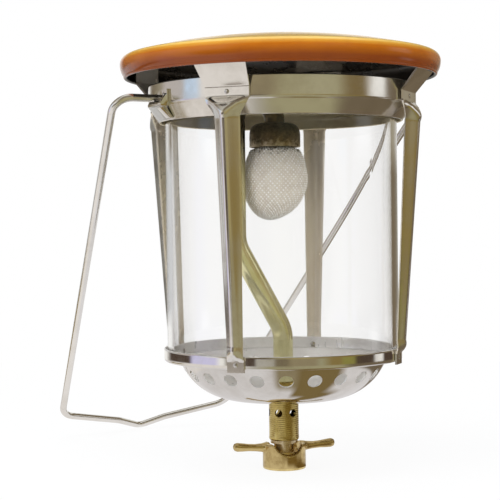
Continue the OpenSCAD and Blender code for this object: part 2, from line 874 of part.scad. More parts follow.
// Tailpiece: the nipple that the wing nut pulls on to the gas valve
module tailpiece() {
    flange_r = inlet_d / 2 - end_gap;
    bore_r = spigot_r * 0.35;
    color("darkgoldenrod")
        rotate_extrude()
            polygon([
                [bore_r, flange_z],
                [flange_r, flange_z],
                [flange_r, flange_z + flange_h],
                [stem_r, flange_z + flange_h],
                [stem_r, sleeve_z - collar_h],
                [collar_d / 2, sleeve_z - collar_h],
                [collar_d / 2, sleeve_z],
                [spigot_r, sleeve_z],
                [spigot_r, sleeve_z + spigot_h],
                [bore_r, sleeve_z + spigot_h]
            ]);
}

// Rubber seal between the tailpiece and the gas valve
module inlet_seal() {
    color("dimgray")
        translate([0, 0, flange_z - seal_h])
            difference() {
                cylinder(r = inlet_d / 2 - end_gap, h = seal_h);
                translate([0, 0, -1])
                    cylinder(r = spigot_r * 0.6, h = seal_h + 2);
            }
}

// Wing nut: a cast brass cup with a web, two wings and a scallop on each side
module wing_nut() {
    wing_z = nut_h - wing_d * 0.4;
    root_x = (cup_d + nut_d) / 4;
    wing_l = wing_reach - root_x - wing_d / 2;
    color("peru")
        rotate(wing_turn)
            difference() {
                union() {
                    rotate_extrude()
                        polygon([
                            [0, 0],
                            [nut_d / 2 - corner / 2, 0],
                            [nut_d / 2, corner / 2],
                            [nut_d / 2, nut_h - corner],
                            [nut_d / 2 - corner, nut_h],
                            [0, nut_h]
                        ]);
                    for (side = [0, 180])
                        rotate(side)
                            translate([root_x, 0, wing_z])
                                rotate([0, 90 - wing_rise, 0]) {
                                    cylinder(d1 = wing_d * 0.85, d2 = wing_d, h = wing_l);
                                    translate([0, 0, wing_l])
                                        sphere(d = wing_d);
                                }
                }
                translate([0, 0, -1])
                    cylinder(d = inlet_d, h = inlet_depth + 1);
                translate([0, 0, thread_l])
                    cylinder(d = relief_d, h = inlet_depth - thread_l);
                cylinder(r = stem_r + turn_fit, h = 2 * nut_h);
                translate([0, 0, inlet_depth + web_h])
                    cylinder(d = cup_d, h = nut_h);
                difference() {
                    translate([0, 0, inlet_depth + web_h / 4 + scallop_r])
                        rotate([90, 0, 0])
                            cylinder(r = scallop_r, h = 2 * nut_d, center = true);
                    cylinder(d = cup_d - 2 * corner, h = 2 * nut_h);
                }
            }
}

hat();
chimney_ring();
strut(strut_turns[2]);  // strut_front_left
strut(strut_turns[3]);  // strut_front_right
strut(strut_turns[0]);  // strut_back_right
strut(strut_turns[1]);  // strut_back_left
plate_rivets();
foot_rivets();
globe_glass();
base_dish();
bail();
bail_lug(180);  // bail_lug_left
bail_lug(0);  // bail_lug_right
lug_rivets();
gas_tube();
burner_bell();
burner_nozzle();
mantle();
mantle_tie();
air_sleeve();
sleeve_locknut();
sleeve_washer();
injector_jet();
tailpiece();
inlet_seal();
wing_nut();
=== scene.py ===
import json
import math

import bmesh
import bpy
from mathutils import Matrix, Vector

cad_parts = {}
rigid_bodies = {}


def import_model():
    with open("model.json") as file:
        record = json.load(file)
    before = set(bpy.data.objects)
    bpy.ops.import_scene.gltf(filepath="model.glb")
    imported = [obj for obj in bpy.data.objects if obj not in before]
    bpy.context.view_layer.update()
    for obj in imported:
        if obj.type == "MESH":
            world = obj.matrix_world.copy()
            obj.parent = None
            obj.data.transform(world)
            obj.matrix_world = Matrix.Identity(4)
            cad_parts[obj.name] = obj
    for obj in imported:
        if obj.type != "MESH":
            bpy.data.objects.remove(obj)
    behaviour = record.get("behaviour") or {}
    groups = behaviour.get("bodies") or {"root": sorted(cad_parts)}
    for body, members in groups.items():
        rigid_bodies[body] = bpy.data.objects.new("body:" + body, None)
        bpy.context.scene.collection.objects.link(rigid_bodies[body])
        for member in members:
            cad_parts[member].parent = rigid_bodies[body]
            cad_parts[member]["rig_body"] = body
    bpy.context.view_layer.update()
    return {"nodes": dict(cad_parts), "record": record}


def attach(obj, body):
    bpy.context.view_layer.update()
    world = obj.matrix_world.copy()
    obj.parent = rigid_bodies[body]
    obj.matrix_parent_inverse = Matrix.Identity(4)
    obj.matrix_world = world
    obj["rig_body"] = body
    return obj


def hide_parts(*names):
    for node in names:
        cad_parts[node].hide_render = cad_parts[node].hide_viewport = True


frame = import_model()

# Camera: stands in front and to the left of the lantern, just above the middle of
# its glass, with a long lens and a slight roll, as the photographer held it.
MM = 0.001
UP = Vector((0, 0, 1))
picture_side = 500
sensor = 36
focal_px = 1402
axis_px, horizon_px = 32.0, 28.0
roll = math.radians(0.67)
eye_turn = math.radians(-31)
eye_out, eye_height = 608 * MM, 107 * MM
to_eye = Vector((math.sin(eye_turn), -math.cos(eye_turn), 0))
across = Vector((math.cos(eye_turn), math.sin(eye_turn), 0))


def new_object(name, data):
    obj = bpy.data.objects.new(name, data)
    bpy.context.scene.collection.objects.link(obj)
    return obj


camera = new_object("camera", bpy.data.cameras.new("camera"))
camera.data.sensor_width = sensor
camera.data.lens = sensor * focal_px / picture_side
back = (to_eye * focal_px + across * axis_px + UP * horizon_px).normalized()
side = (UP + across * math.tan(roll)).cross(back).normalized()
camera.matrix_world = Matrix.Translation(to_eye * eye_out + UP * eye_height) @ Matrix(
    (side, back.cross(side), back)).transposed().to_4x4()
bpy.context.scene.camera = camera

# Wing nut: one brass casting with a threaded bore, a cup for the tailpiece and two
# bar wings, lightly polished so that its edges are round.
NUT_TURN = math.radians(-15)
NUT_R, NUT_H = 9.35, 11.0
BORE_R, BORE_L, RELIEF_R, BORE_DEPTH = 7.0, 4.2, 7.4, 6.0
STEM_HOLE_R, CUP_R, CUP_Z = 4.48, 6.9, 7.6
SCALLOP_R, SCALLOP_Z, LIP_R = 6.5, 12.9, 6.1
FOOT_ROUND, TOP_ROUND = 0.6, 1.2
# Along the wing: its place, height, half height and half width
WING_RINGS = [(5.5, 9.1, 2.6, 3.2), (8.4, 9.2, 2.35, 2.7), (10.2, 9.3, 1.9, 2.1),
              (13.0, 9.4, 1.6, 1.75), (16.0, 9.6, 1.6, 1.7), (19.0, 9.8, 1.85, 1.9),
              (21.2, 9.95, 1.95, 1.95), (22.4, 10.0, 1.5, 1.5), (22.9, 10.05, 0.5, 0.5)]
WING_SIDES = 24
CUT_SPARE, CUT_GAP = 1, 0.01
CAST_GRAIN, CAST_POLISH, CAST_PASSES = 0.24 * MM, 0.5, 6


def mesh_object(name, corners, faces):
    """A smooth mesh with its faces turned outwards."""
    mesh = bpy.data.meshes.new(name)
    mesh.from_pydata(corners, [], faces)
    work = bmesh.new()
    work.from_mesh(mesh)
    bmesh.ops.remove_doubles(work, verts=work.verts, dist=1e-7)
    bmesh.ops.recalc_face_normals(work, faces=work.faces)
    work.to_mesh(mesh)
    work.free()
    mesh.shade_smooth()
    return new_object(name, mesh)


def banded(rows, columns, round_rows=True, round_columns=True):
    """Faces between rows of points; what goes round is closed on itself."""
    faces = []
    for j in range(rows if round_rows else rows - 1):
        here, ahead = j * columns, (j + 1) % rows * columns
        for i in range(columns if round_columns else columns - 1):
            k = (i + 1) % columns
            faces.append((here + i, ahead + i, ahead + k, here + k))
    return faces


def arc(mid, radius, start, end, steps):
    turns = [math.radians(start + (end - start) * i / steps) for i in range(steps + 1)]
    return [(mid[0] + radius * math.cos(a), mid[1] + radius * math.sin(a)) for a in turns]


def softened(points, closed=True, steps=6):
    """A path of (radius, height, round) whose corners are rounded off."""
    path = []
    for i, (x, y, round_r) in enumerate(points):
        here = Vector((x, y))
        if round_r == 0 or not closed and i in (0, len(points) - 1):
            path.append((x, y))
            continue
        before = (Vector(points[i - 1][:2]) - here).normalized()
        after = (Vector(points[(i + 1) % len(points)][:2]) - here).normalized()
        half = before.angle(after) / 2
        trim = round_r / math.tan(half)
        for k in range(steps + 1):
            t = k / steps
            start, end = here + before * trim, here + after * trim
            near = start.lerp(here, t)
            path.append(tuple(near.lerp(here.lerp(end, t), t)))
    return path


def turned(name, outline, steps=144, wave=None, mid=(0, 0)):
    """A solid turned from a closed outline of (radius, height) in millimetres."""
    corners = []
    for i in range(steps):
        a = 2 * math.pi * i / steps
        for j, (r, z) in enumerate(outline):
            out = wave(j, a, r, z) if wave else r
            corners.append(((mid[0] + out * math.cos(a)) * MM,
                            (mid[1] + out * math.sin(a)) * MM, z * MM))
    return mesh_object(name, corners, banded(steps, len(outline)))


def settled(obj):
    """Takes the result of an object's modifiers into its mesh."""
    shaped = bpy.data.meshes.new_from_object(
        obj.evaluated_get(bpy.context.evaluated_depsgraph_get()))
    obj.modifiers.clear()
    obj.data = shaped
    shaped.shade_smooth()


def creased(obj, degrees):
    """Keeps edges that turn by more than this sharp in the shading."""
    obj.data.set_sharp_from_angle(angle=math.radians(degrees))


def joined(obj, other, operation):
    """Joins another solid to an object or cuts it away, and uses it up."""
    tool = obj.modifiers.new("tool", "BOOLEAN")
    tool.operation, tool.object, tool.solver = operation, other, "EXACT"
    settled(obj)
    bpy.data.objects.remove(other)


def drum(radius, low, high, steps=96):
    return turned("tool", [(0, low), (radius, low), (radius, high), (0, high)], steps)


def sideways(turn, out, height):
    """Lays what stands on the axis outwards at a turn, from a radius and a height."""
    return (Matrix.Rotation(math.radians(turn), 4, "Z")
            @ Matrix.Translation((out * MM, 0, height * MM))
            @ Matrix.Rotation(math.pi / 2, 4, "Y"))


def fitted(obj, body, slot, *nodes):
    """Lets a piece ride on its body in the place of the nodes that it dresses."""
    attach(obj, body)
    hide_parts(*nodes)


def dressed(material, *objects):
    for obj in objects:
        obj.data.materials.clear()
        obj.data.materials.append(material)


def socketed(name, inputs, outputs):
    """A shader group with named sockets, and the nodes of its two ends."""
    group = bpy.data.node_groups.new(name, "ShaderNodeTree")
    for label, kind in inputs:
        group.interface.new_socket(label, in_out="INPUT", socket_type=kind)
    for label, kind in outputs:
        group.interface.new_socket(label, in_out="OUTPUT", socket_type=kind)
    return group, group.nodes.new("NodeGroupInput"), group.nodes.new("NodeGroupOutput")


def added(tree, kind, settings=(), values=()):
    """A new shader node with its settings and the values of its inputs."""
    node = tree.nodes.new(kind)
    for key, value in dict(settings).items():
        setattr(node, key, value)
    for key, value in dict(values).items():
        node.inputs[key].default_value = value
    return node


def wired(tree, *pairs):
    for output, entry in pairs:
        tree.links.new(output, entry)


def new_material(name):
    """A material, its node tree and its shader."""
    material = bpy.data.materials.new(name)
    material.use_nodes = True
    return material, material.node_tree, material.node_tree.nodes["Principled BSDF"]


# Shared finish of handled metal: cloudy patches, fine drawn lines and slow waves
COLOUR, NUMBER, ARROW = "NodeSocketColor", "NodeSocketFloat", "NodeSocketVector"
handled_metal, given, made = socketed(
    "handled_metal",
    [("Bright", COLOUR), ("Dull", COLOUR), ("Smooth", NUMBER), ("Rough", NUMBER),
     ("Patches", NUMBER), ("Lines", ARROW), ("Waves", NUMBER)],
    [("Colour", COLOUR), ("Roughness", NUMBER), ("Height", NUMBER)])
place = added(handled_metal, "ShaderNodeTexCoord")
clouds = added(handled_metal, "ShaderNodeTexNoise", values={"Detail": 5, "Roughness": 0.62})
patch = added(handled_metal, "ShaderNodeMapRange", {"interpolation_type": "SMOOTHSTEP"},
              {"From Min": 0.38, "From Max": 0.68})
drawn = added(handled_metal, "ShaderNodeVectorMath", {"operation": "MULTIPLY"})
lines = added(handled_metal, "ShaderNodeTexNoise", values={"Scale": 1, "Detail": 3})
slow = added(handled_metal, "ShaderNodeTexNoise", values={"Detail": 1})
tint = added(handled_metal, "ShaderNodeMix", {"data_type": "RGBA"})
share = added(handled_metal, "ShaderNodeMath", {"operation": "MULTIPLY_ADD"}, {1: 0.5})
half_patch = added(handled_metal, "ShaderNodeMath", {"operation": "MULTIPLY"}, {1: 0.6})
gloss = added(handled_metal, "ShaderNodeMapRange", values={"From Min": 0.15, "From Max": 0.85})
relief = added(handled_metal, "ShaderNodeMath", {"operation": "MULTIPLY_ADD"}, {1: 0.03})
wired(
    handled_metal,
    (place.outputs["Object"], clouds.inputs["Vector"]),
    (given.outputs["Patches"], clouds.inputs["Scale"]),
    (clouds.outputs["Fac"], patch.inputs["Value"]),
    (place.outputs["Object"], drawn.inputs[0]),
    (given.outputs["Lines"], drawn.inputs[1]),
    (drawn.outputs["Vector"], lines.inputs["Vector"]),
    (place.outputs["Object"], slow.inputs["Vector"]),
    (given.outputs["Waves"], slow.inputs["Scale"]),
    (patch.outputs["Result"], tint.inputs["Factor"]),
    (given.outputs["Bright"], tint.inputs["A"]),
    (given.outputs["Dull"], tint.inputs["B"]),
    (patch.outputs["Result"], half_patch.inputs[0]),
    (lines.outputs["Fac"], share.inputs[0]),
    (half_patch.outputs["Value"], share.inputs[2]),
    (share.outputs["Value"], gloss.inputs["Value"]),
    (given.outputs["Smooth"], gloss.inputs["To Min"]),
    (given.outputs["Rough"], gloss.inputs["To Max"]),
    (lines.outputs["Fac"], relief.inputs[0]),
    (slow.outputs["Fac"], relief.inputs[2]),
    (tint.outputs["Result"], made.inputs["Colour"]),
    (gloss.outputs["Result"], made.inputs["Roughness"]),
    (relief.outputs["Value"], made.inputs["Height"]))


def metal(name, bright, dull, smooth, rough, patches, lines, waves, relief, metallic=1):
    """A metal with the shared finish; relief is the depth of its waves in millimetres."""
    material, tree, shader = new_material(name)
    shader.inputs["Metallic"].default_value = metallic
    finish = added(tree, "ShaderNodeGroup", {"node_tree": handled_metal}, {
        "Bright": (*bright, 1), "Dull": (*dull, 1), "Smooth": smooth, "Rough": rough,
        "Patches": patches, "Lines": lines, "Waves": waves})
    bump = added(tree, "ShaderNodeBump", values={"Strength": 1, "Distance": relief * MM})
    wired(
        tree,
        (finish.outputs["Colour"], shader.inputs["Base Color"]),
        (finish.outputs["Roughness"], shader.inputs["Roughness"]),
        (finish.outputs["Height"], bump.inputs["Height"]),
        (bump.outputs["Normal"], shader.inputs["Normal"]))
    return material


cast_brass = metal("cast_brass", (0.68, 0.53, 0.24), (0.48, 0.35, 0.14), 0.12, 0.28,
                   190, (700, 700, 700), 200, 0.03)
nut = turned("wing_nut_casting", softened([
    (0, 0, 0), (NUT_R, 0, FOOT_ROUND), (NUT_R, NUT_H, TOP_ROUND), (0, NUT_H, 0)]))
for way in (0, math.pi):
    corners = []
    for x, z, tall, wide in WING_RINGS:
        for k in range(WING_SIDES):
            a = 2 * math.pi * k / WING_SIDES
            point = Vector((x, wide * math.cos(a), z + tall * math.sin(a))) * MM
            corners.append(Matrix.Rotation(way, 3, "Z") @ point)
    ends = [tuple(range(WING_SIDES)), tuple(range(len(corners) - WING_SIDES, len(corners)))]
    sides = banded(len(WING_RINGS), WING_SIDES, round_rows=False)
    joined(nut, mesh_object("wing", corners, ends + sides), "UNION")
joined(nut, drum(BORE_R, -CUT_SPARE, BORE_DEPTH), "DIFFERENCE")
joined(nut, drum(RELIEF_R, BORE_L, BORE_DEPTH - CUT_GAP), "DIFFERENCE")
joined(nut, drum(STEM_HOLE_R, -CUT_SPARE, NUT_H + CUT_SPARE), "DIFFERENCE")
joined(nut, drum(CUP_R, CUP_Z, NUT_H + CUT_SPARE), "DIFFERENCE")
scallop = drum(SCALLOP_R, -NUT_R * 2, NUT_R * 2)
scallop.data.transform(Matrix.Translation((0, 0, SCALLOP_Z * MM)) @ Matrix.Rotation(
    math.pi / 2, 4, "X"))
joined(scallop, drum(LIP_R, 0, 2 * SCALLOP_Z), "DIFFERENCE")
joined(nut, scallop, "DIFFERENCE")
recast = nut.modifiers.new("recast", "REMESH")
recast.mode, recast.voxel_size = "VOXEL", CAST_GRAIN
polish = nut.modifiers.new("polish", "SMOOTH")
polish.factor, polish.iterations = CAST_POLISH, CAST_PASSES
settled(nut)
nut.data.transform(Matrix.Rotation(NUT_TURN, 4, "Z"))
fitted(nut, "wing_nut", "cast_brass", "wing_nut")
dressed(cast_brass, nut)

# Tailpiece, seal and jet: turned brass parts and a rubber washer that stay as the
# frame has them; the tailpiece has gone dull in the nut's cup, where it turns.
turned_brass = metal("turned_brass", (0.66, 0.53, 0.20), (0.48, 0.36, 0.11), 0.14, 0.3,
                     160, (60, 60, 3000), 160, 0.012)
dull_brass = metal("dull_brass", (0.78, 0.66, 0.44), (0.58, 0.46, 0.26), 0.2, 0.4,
                   300, (60, 60, 3000), 200, 0.02)
rubber = metal("seal_rubber", (0.035, 0.034, 0.033), (0.06, 0.058, 0.055), 0.6, 0.85,
               700, (1500, 1500, 1500), 900, 0.05, metallic=0)
dressed(turned_brass, frame["nodes"]["injector_jet"])
dressed(dull_brass, frame["nodes"]["tailpiece"])
dressed(rubber, frame["nodes"]["inlet_seal"])

# Air sleeve: a drilled brass tube with a fine thread along its outside, a neck that
# passes through the dish, and a locknut and washer that hold it there.
SLEEVE_R, SLEEVE_Z, DISH_Z, SLEEVE_TOP = 6.5, 12.4, 30.5, 37.8
NECK_R, SPIGOT_R, SPIGOT_TOP = 5.7, 4.05, 17.0
CHAMBER_R, CHAMBER_TOP, TUBE_BORE_R, TUBE_SEAT_R, DISH_FLOOR = 5.2, 29.3, 3.5, 4.35, 31.3
THREAD_PITCH, THREAD_DEEP, THREAD_LOW, THREAD_HIGH = 0.9, 0.13, 13.6, 29.6
THREAD_FADE, THREAD_SHARP, THREAD_ROWS = 0.8, 0.8, 150
SLEEVE_ROUND, SLEEVE_EDGE, NECK_EDGE = 0.8, 0.3, 0.4
PORT_R, PORT_Z, PORT_TURNS = 1.7, 24.4, (38, 98, 158)
thread_heights = [THREAD_LOW + (THREAD_HIGH - THREAD_LOW) * i / THREAD_ROWS
                  for i in range(THREAD_ROWS + 1)]


def thread(_, a, r, z):
    """Radius of the sleeve's outside at a turn and height, with the thread cut in."""
    if r < SLEEVE_R or not THREAD_LOW <= z <= THREAD_HIGH:
        return r
    fade = min(1, (z - THREAD_LOW) / THREAD_FADE, (THREAD_HIGH - z) / THREAD_FADE)
    turn = (z / THREAD_PITCH - a / (2 * math.pi)) % 1
    groove = (0.5 - 0.5 * math.cos(2 * math.pi * turn)) ** THREAD_SHARP
    return r - THREAD_DEEP * fade * groove


sleeve = turned("air_sleeve_threaded", (
    [(SPIGOT_R, SLEEVE_Z)]
    + arc((SLEEVE_R - SLEEVE_ROUND, SLEEVE_Z + SLEEVE_ROUND), SLEEVE_ROUND, -90, 0, 5)
    + [(SLEEVE_R, z) for z in thread_heights]
    + [(SLEEVE_R, DISH_Z - SLEEVE_EDGE), (SLEEVE_R - SLEEVE_EDGE, DISH_Z), (NECK_R, DISH_Z),
       (NECK_R, SLEEVE_TOP - NECK_EDGE), (NECK_R - NECK_EDGE, SLEEVE_TOP),
       (TUBE_SEAT_R, SLEEVE_TOP), (TUBE_SEAT_R, DISH_FLOOR), (TUBE_BORE_R, DISH_FLOOR),
       (TUBE_BORE_R, CHAMBER_TOP), (CHAMBER_R, CHAMBER_TOP - CHAMBER_R + TUBE_BORE_R),
       (CHAMBER_R, SPIGOT_TOP), (SPIGOT_R, SPIGOT_TOP)]), 120, thread)
for port in PORT_TURNS:
    drill = drum(PORT_R, -2 * SLEEVE_R, 2 * SLEEVE_R, steps=32)
    drill.data.transform(sideways(port, 0, PORT_Z))
    joined(sleeve, drill, "DIFFERENCE")
creased(sleeve, 50)
fitted(sleeve, "lantern", "turned_brass", "air_sleeve")


def eased(name, node, width):
    """A copy of a solid whose edges are eased, in place of the sharp one."""
    obj = new_object(name, frame["nodes"][node].data.copy())
    work = bmesh.new()
    work.from_mesh(obj.data)
    bmesh.ops.remove_doubles(work, verts=work.verts, dist=1e-6)
    bmesh.ops.dissolve_limit(work, angle_limit=math.radians(1), verts=work.verts,
                             edges=work.edges)
    work.to_mesh(obj.data)
    work.free()
    bevel = obj.modifiers.new("eased", "BEVEL")
    bevel.width, bevel.segments = width * MM, 3
    bevel.limit_method, bevel.angle_limit = "ANGLE", math.radians(40)
    settled(obj)
    creased(obj, 35)
    slot_name = next(row["material_slot"] for row in frame["record"]["subparts"]
                     if row["node"] == node)
    fitted(obj, frame["nodes"][node]["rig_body"], slot_name, node)
    return obj


locknut = eased("sleeve_locknut_eased", "sleeve_locknut", 0.35)
washer = eased("sleeve_washer_eased", "sleeve_washer", 0.15)
dressed(turned_brass, sleeve, locknut)

# Base dish: one pressing of bright plated sheet, a bowl with a row of air holes, a
# ledge that the glass stands on and an upright band; the holes are punched last.
SHEET = 0.8
DISH_R, LEDGE_Z, BAND_TOP, BOWL_R, BOWL_MID_R = 51.5, 47.6, 53.1, 26.4, 19.99
BOWL_END, LEDGE_ROUND, BAND_ROUND, NECK_PLAY = 69.37, 1.5, 1.2, 0.05
AIR_HOLES, AIR_HOLE_R, AIR_HOLE_TURN, AIR_HOLE_LEAN = 22, 3.1, 11.4, 55.6
PUNCH_FROM, PUNCH_TO, DISH_MID_Z = 15, 34, 80
SHEET_STEPS, SHEET_CREASE = 288, 48


def sheet(path, thick):
    """The closed outline of a sheet whose outer face is the path, with round edges."""
    points = [Vector(p) for p in path]
    for end, near in ((0, 1), (-1, -2)):
        points[end] += (points[near] - points[end]).normalized() * thick / 2
    normals = []
    for i, p in enumerate(points):
        run = points[min(i + 1, len(points) - 1)] - points[max(i - 1, 0)]
        normals.append(Vector((-run.y, run.x)).normalized())
    inner = [p + n * thick for p, n in zip(points, normals)]
    ends = []
    for i, sign in ((len(points) - 1, 1), (0, -1)):
        mid, out = (points[i] + inner[i]) / 2, (inner[i] - points[i]) / 2
        run = Vector((out.y, -out.x)) * sign
        swing = out * -sign
        ends.append([tuple(mid + swing * math.cos(a) + run * math.sin(a))
                     for a in (math.pi / 4, math.pi / 2, 3 * math.pi / 4)])
    return [tuple(p) for p in points] + ends[0] + [tuple(p) for p in reversed(inner)] + ends[1]


def stepped(path, step):
    """The same path with points no further apart than about a step."""
    points = []
    for p, q in zip(path, path[1:]):
        count = max(1, round(math.dist(p, q) / step))
        points += [(p[0] + (q[0] - p[0]) * i / count, p[1] + (q[1] - p[1]) * i / count)
                   for i in range(count)]
    return points + [path[-1]]


def faced(obj, outer, inner, mid_z=None):
    """Dresses the faces that look away from the lantern's middle apart from the rest."""
    dressed(outer, obj)
    obj.data.materials.append(inner)
    for face in obj.data.polygons:
        mid = Vector((0, 0, face.center.z if mid_z is None else mid_z * MM))
        face.material_index = 0 if face.normal.dot(face.center - mid) > 0 else 1


plated = metal("plated_sheet", (0.80, 0.78, 0.74), (0.70, 0.67, 0.62), 0.06, 0.15,
               55, (700, 700, 90), 42, 0.05)
plated_inside = metal("plated_inside", (0.92, 0.91, 0.90), (0.82, 0.80, 0.78), 0.26, 0.42,
                      60, (600, 600, 120), 60, 0.06, metallic=0.45)
bowl = arc((BOWL_MID_R, DISH_Z + BOWL_R), BOWL_R, -90, BOWL_END - 90, 48)
rim = softened([(*bowl[-1], LEDGE_ROUND), (DISH_R, LEDGE_Z, BAND_ROUND),
                (DISH_R, BAND_TOP, 0)], False)
dish = turned("base_dish_pressing", sheet(
    stepped([(NECK_R + NECK_PLAY, DISH_Z)] + bowl[:-1] + rim, 0.8), SHEET), SHEET_STEPS)
for i in range(AIR_HOLES):
    punch = drum(AIR_HOLE_R, PUNCH_FROM, PUNCH_TO, steps=40)
    punch.data.transform(
        Matrix.Rotation(math.radians(AIR_HOLE_TURN + i * 360 / AIR_HOLES), 4, "Z")
        @ Matrix.Translation((BOWL_MID_R * MM, 0, (DISH_Z + BOWL_R) * MM))
        @ Matrix.Rotation(math.radians(180 - AIR_HOLE_LEAN), 4, "Y"))
    if i == 0:
        punches = punch
    else:
        joined(punches, punch, "UNION")
joined(dish, punches, "DIFFERENCE")
creased(dish, SHEET_CREASE)
fitted(dish, "lantern", "plated_sheet", "base_dish")
faced(dish, plated, plated_inside, DISH_MID_Z)

# Gas tube: thin drawn brass, gone greenish with heat and sooted near the burner; it
# stays as the frame has it, bent past the mantle and over into the burner.
SOOT = (0.07, 0.05, 0.022)
burner_heat, given, made = socketed(
    "burner_heat",
    [("Colour", COLOUR), ("Soot", COLOUR), ("Low", NUMBER), ("High", NUMBER),
     ("Speckle", NUMBER)], [("Colour", COLOUR)])
place = added(burner_heat, "ShaderNodeTexCoord")
axes = added(burner_heat, "ShaderNodeSeparateXYZ")
specks = added(burner_heat, "ShaderNodeTexNoise", values={"Scale": 620, "Detail": 3})
level = added(burner_heat, "ShaderNodeMath", {"operation": "SUBTRACT"}, {1: 0.5})
rough_edge = added(burner_heat, "ShaderNodeMath", {"operation": "MULTIPLY_ADD"})
darker = added(burner_heat, "ShaderNodeMapRange", {"interpolation_type": "SMOOTHSTEP"})
tint = added(burner_heat, "ShaderNodeMix", {"data_type": "RGBA"})
wired(
    burner_heat,
    (place.outputs["Object"], axes.inputs[0]),
    (place.outputs["Object"], specks.inputs["Vector"]),
    (specks.outputs["Fac"], level.inputs[0]),
    (level.outputs["Value"], rough_edge.inputs[0]),
    (given.outputs["Speckle"], rough_edge.inputs[1]),
    (axes.outputs["Z"], rough_edge.inputs[2]),
    (rough_edge.outputs["Value"], darker.inputs["Value"]),
    (given.outputs["Low"], darker.inputs["From Min"]),
    (given.outputs["High"], darker.inputs["From Max"]),
    (darker.outputs["Result"], tint.inputs["Factor"]),
    (given.outputs["Colour"], tint.inputs["A"]),
    (given.outputs["Soot"], tint.inputs["B"]),
    (tint.outputs["Result"], made.inputs["Colour"]))


def sooted(material, low, high, speckle, dust=None):
    """Darkens a finish from one height to another, or dusts it below them, in specks."""
    tree = material.node_tree
    shader = tree.nodes["Principled BSDF"]
    heat = added(tree, "ShaderNodeGroup", {"node_tree": burner_heat}, {
        "Soot": (*SOOT, 1), "Low": low * MM, "High": high * MM, "Speckle": speckle * MM})
    finish = shader.inputs["Base Color"].links[0].from_socket
    tree.links.new(finish, heat.inputs["Soot" if dust else "Colour"])
    if dust:
        heat.inputs["Colour"].default_value = (*dust, 1)
    tree.links.new(heat.outputs["Colour"], shader.inputs["Base Color"])
    return material


tube_brass = sooted(metal(
    "tube_brass", (0.95, 0.92, 0.60), (0.86, 0.82, 0.46), 0.08, 0.18,
    90, (500, 500, 60), 90, 0.03, metallic=0.85), 122, 146, 6)
dressed(tube_brass, frame["nodes"]["gas_tube"])

# Burner: a pressed steel bell, blackened by heat and dusted with the mantle's ash at
# its lower edge, round a ceramic nozzle that the end of the gas tube stands in.
BURNER_X, BELL_TOP, BELL_LOW, BELL_R, BELL_ROUND = -3.0, 149.5, 139.0, 11.0, 4.6
ASH_DUST = (0.60, 0.52, 0.38)
dark_steel = sooted(metal(
    "heat_dark_steel", (0.14, 0.10, 0.05), (0.06, 0.042, 0.018), 0.3, 0.55,
    420, (700, 700, 700), 300, 0.08), 137.5, 142.5, 9, ASH_DUST)
ceramic = metal("nozzle_ceramic", (0.80, 0.76, 0.68), (0.62, 0.55, 0.46), 0.7, 0.9,
                420, (2400, 2400, 2400), 700, 0.05, metallic=0)
bell = turned("burner_bell_pressing", sheet(softened([
    (TUBE_SEAT_R, BELL_TOP - SHEET, 0), (BELL_R - SHEET, BELL_TOP - SHEET, BELL_ROUND),
    (BELL_R - SHEET, BELL_LOW, 0)], False, 10), SHEET), 96, mid=(BURNER_X, 0))
fitted(bell, "lantern", "dark_steel", "burner_bell")
dressed(dark_steel, bell)
dressed(ceramic, frame["nodes"]["burner_nozzle"])

# Mantle: a fine white knitted bag, tied on the nozzle inside the bell and sooted at its
# top; its net of loops lies over a thin lining, and knots at the crossings are dressed
# whiter than the yarn as a painted glint.
MANTLE_R, MANTLE_LOW, MANTLE_BELLY_Z = 14.4, 108.0, 124.6
MANTLE_AXIS, SHOULDER_Z, COLLAR_R, COLLAR_TOP = 20.45, 137.8, 6.65, 142.2
SAG, LEAST_R = Vector((-1.9, 1.1)), 0.001
PLEAT_Z, PLEATS, PLEAT_DEEP, UNEVEN_DEEP, UNEVEN_FROM_R = 130, 22, 0.12, 0.3, 8
LOOPS_ROUND, LOOP_ROWS, YARN, KNOT, KNOT_SPREAD = 46, 48, 0.34, 0.34, 0.32
LINING_OUT, LINING_IN, LINING_ROWS, LINING_STEPS = 0.42, 0.6, 90, 180


def bag(z):
    """Radius of the mantle at a height, in millimetres."""
    if z <= MANTLE_BELLY_Z:
        part = (MANTLE_BELLY_Z - z) / (MANTLE_BELLY_Z - MANTLE_LOW)
        return MANTLE_R * math.sqrt(max(0, 1 - part * part))
    if z <= SHOULDER_Z:
        return MANTLE_R * math.sqrt(1 - ((z - MANTLE_BELLY_Z) / MANTLE_AXIS) ** 2)
    neck = (z - SHOULDER_Z) / (BELL_LOW - SHOULDER_Z)
    return max(COLLAR_R, BELL_R - (BELL_R - COLLAR_R) * neck)


def bag_rows(count, fine_steps=2000):
    """Heights of even steps along the bag's side, from its lower end to its neck."""
    fine = [MANTLE_LOW + (COLLAR_TOP - MANTLE_LOW) * (i / fine_steps) ** 2
            for i in range(fine_steps + 1)]
    run = [0]
    for a, b in zip(fine, fine[1:]):
        run.append(run[-1] + math.hypot(b - a, bag(b) - bag(a)))
    heights, j = [], 0
    for i in range(count + 1):
        while j < fine_steps and run[j] < run[-1] * i / count:
            j += 1
        heights.append(fine[j])
    return heights


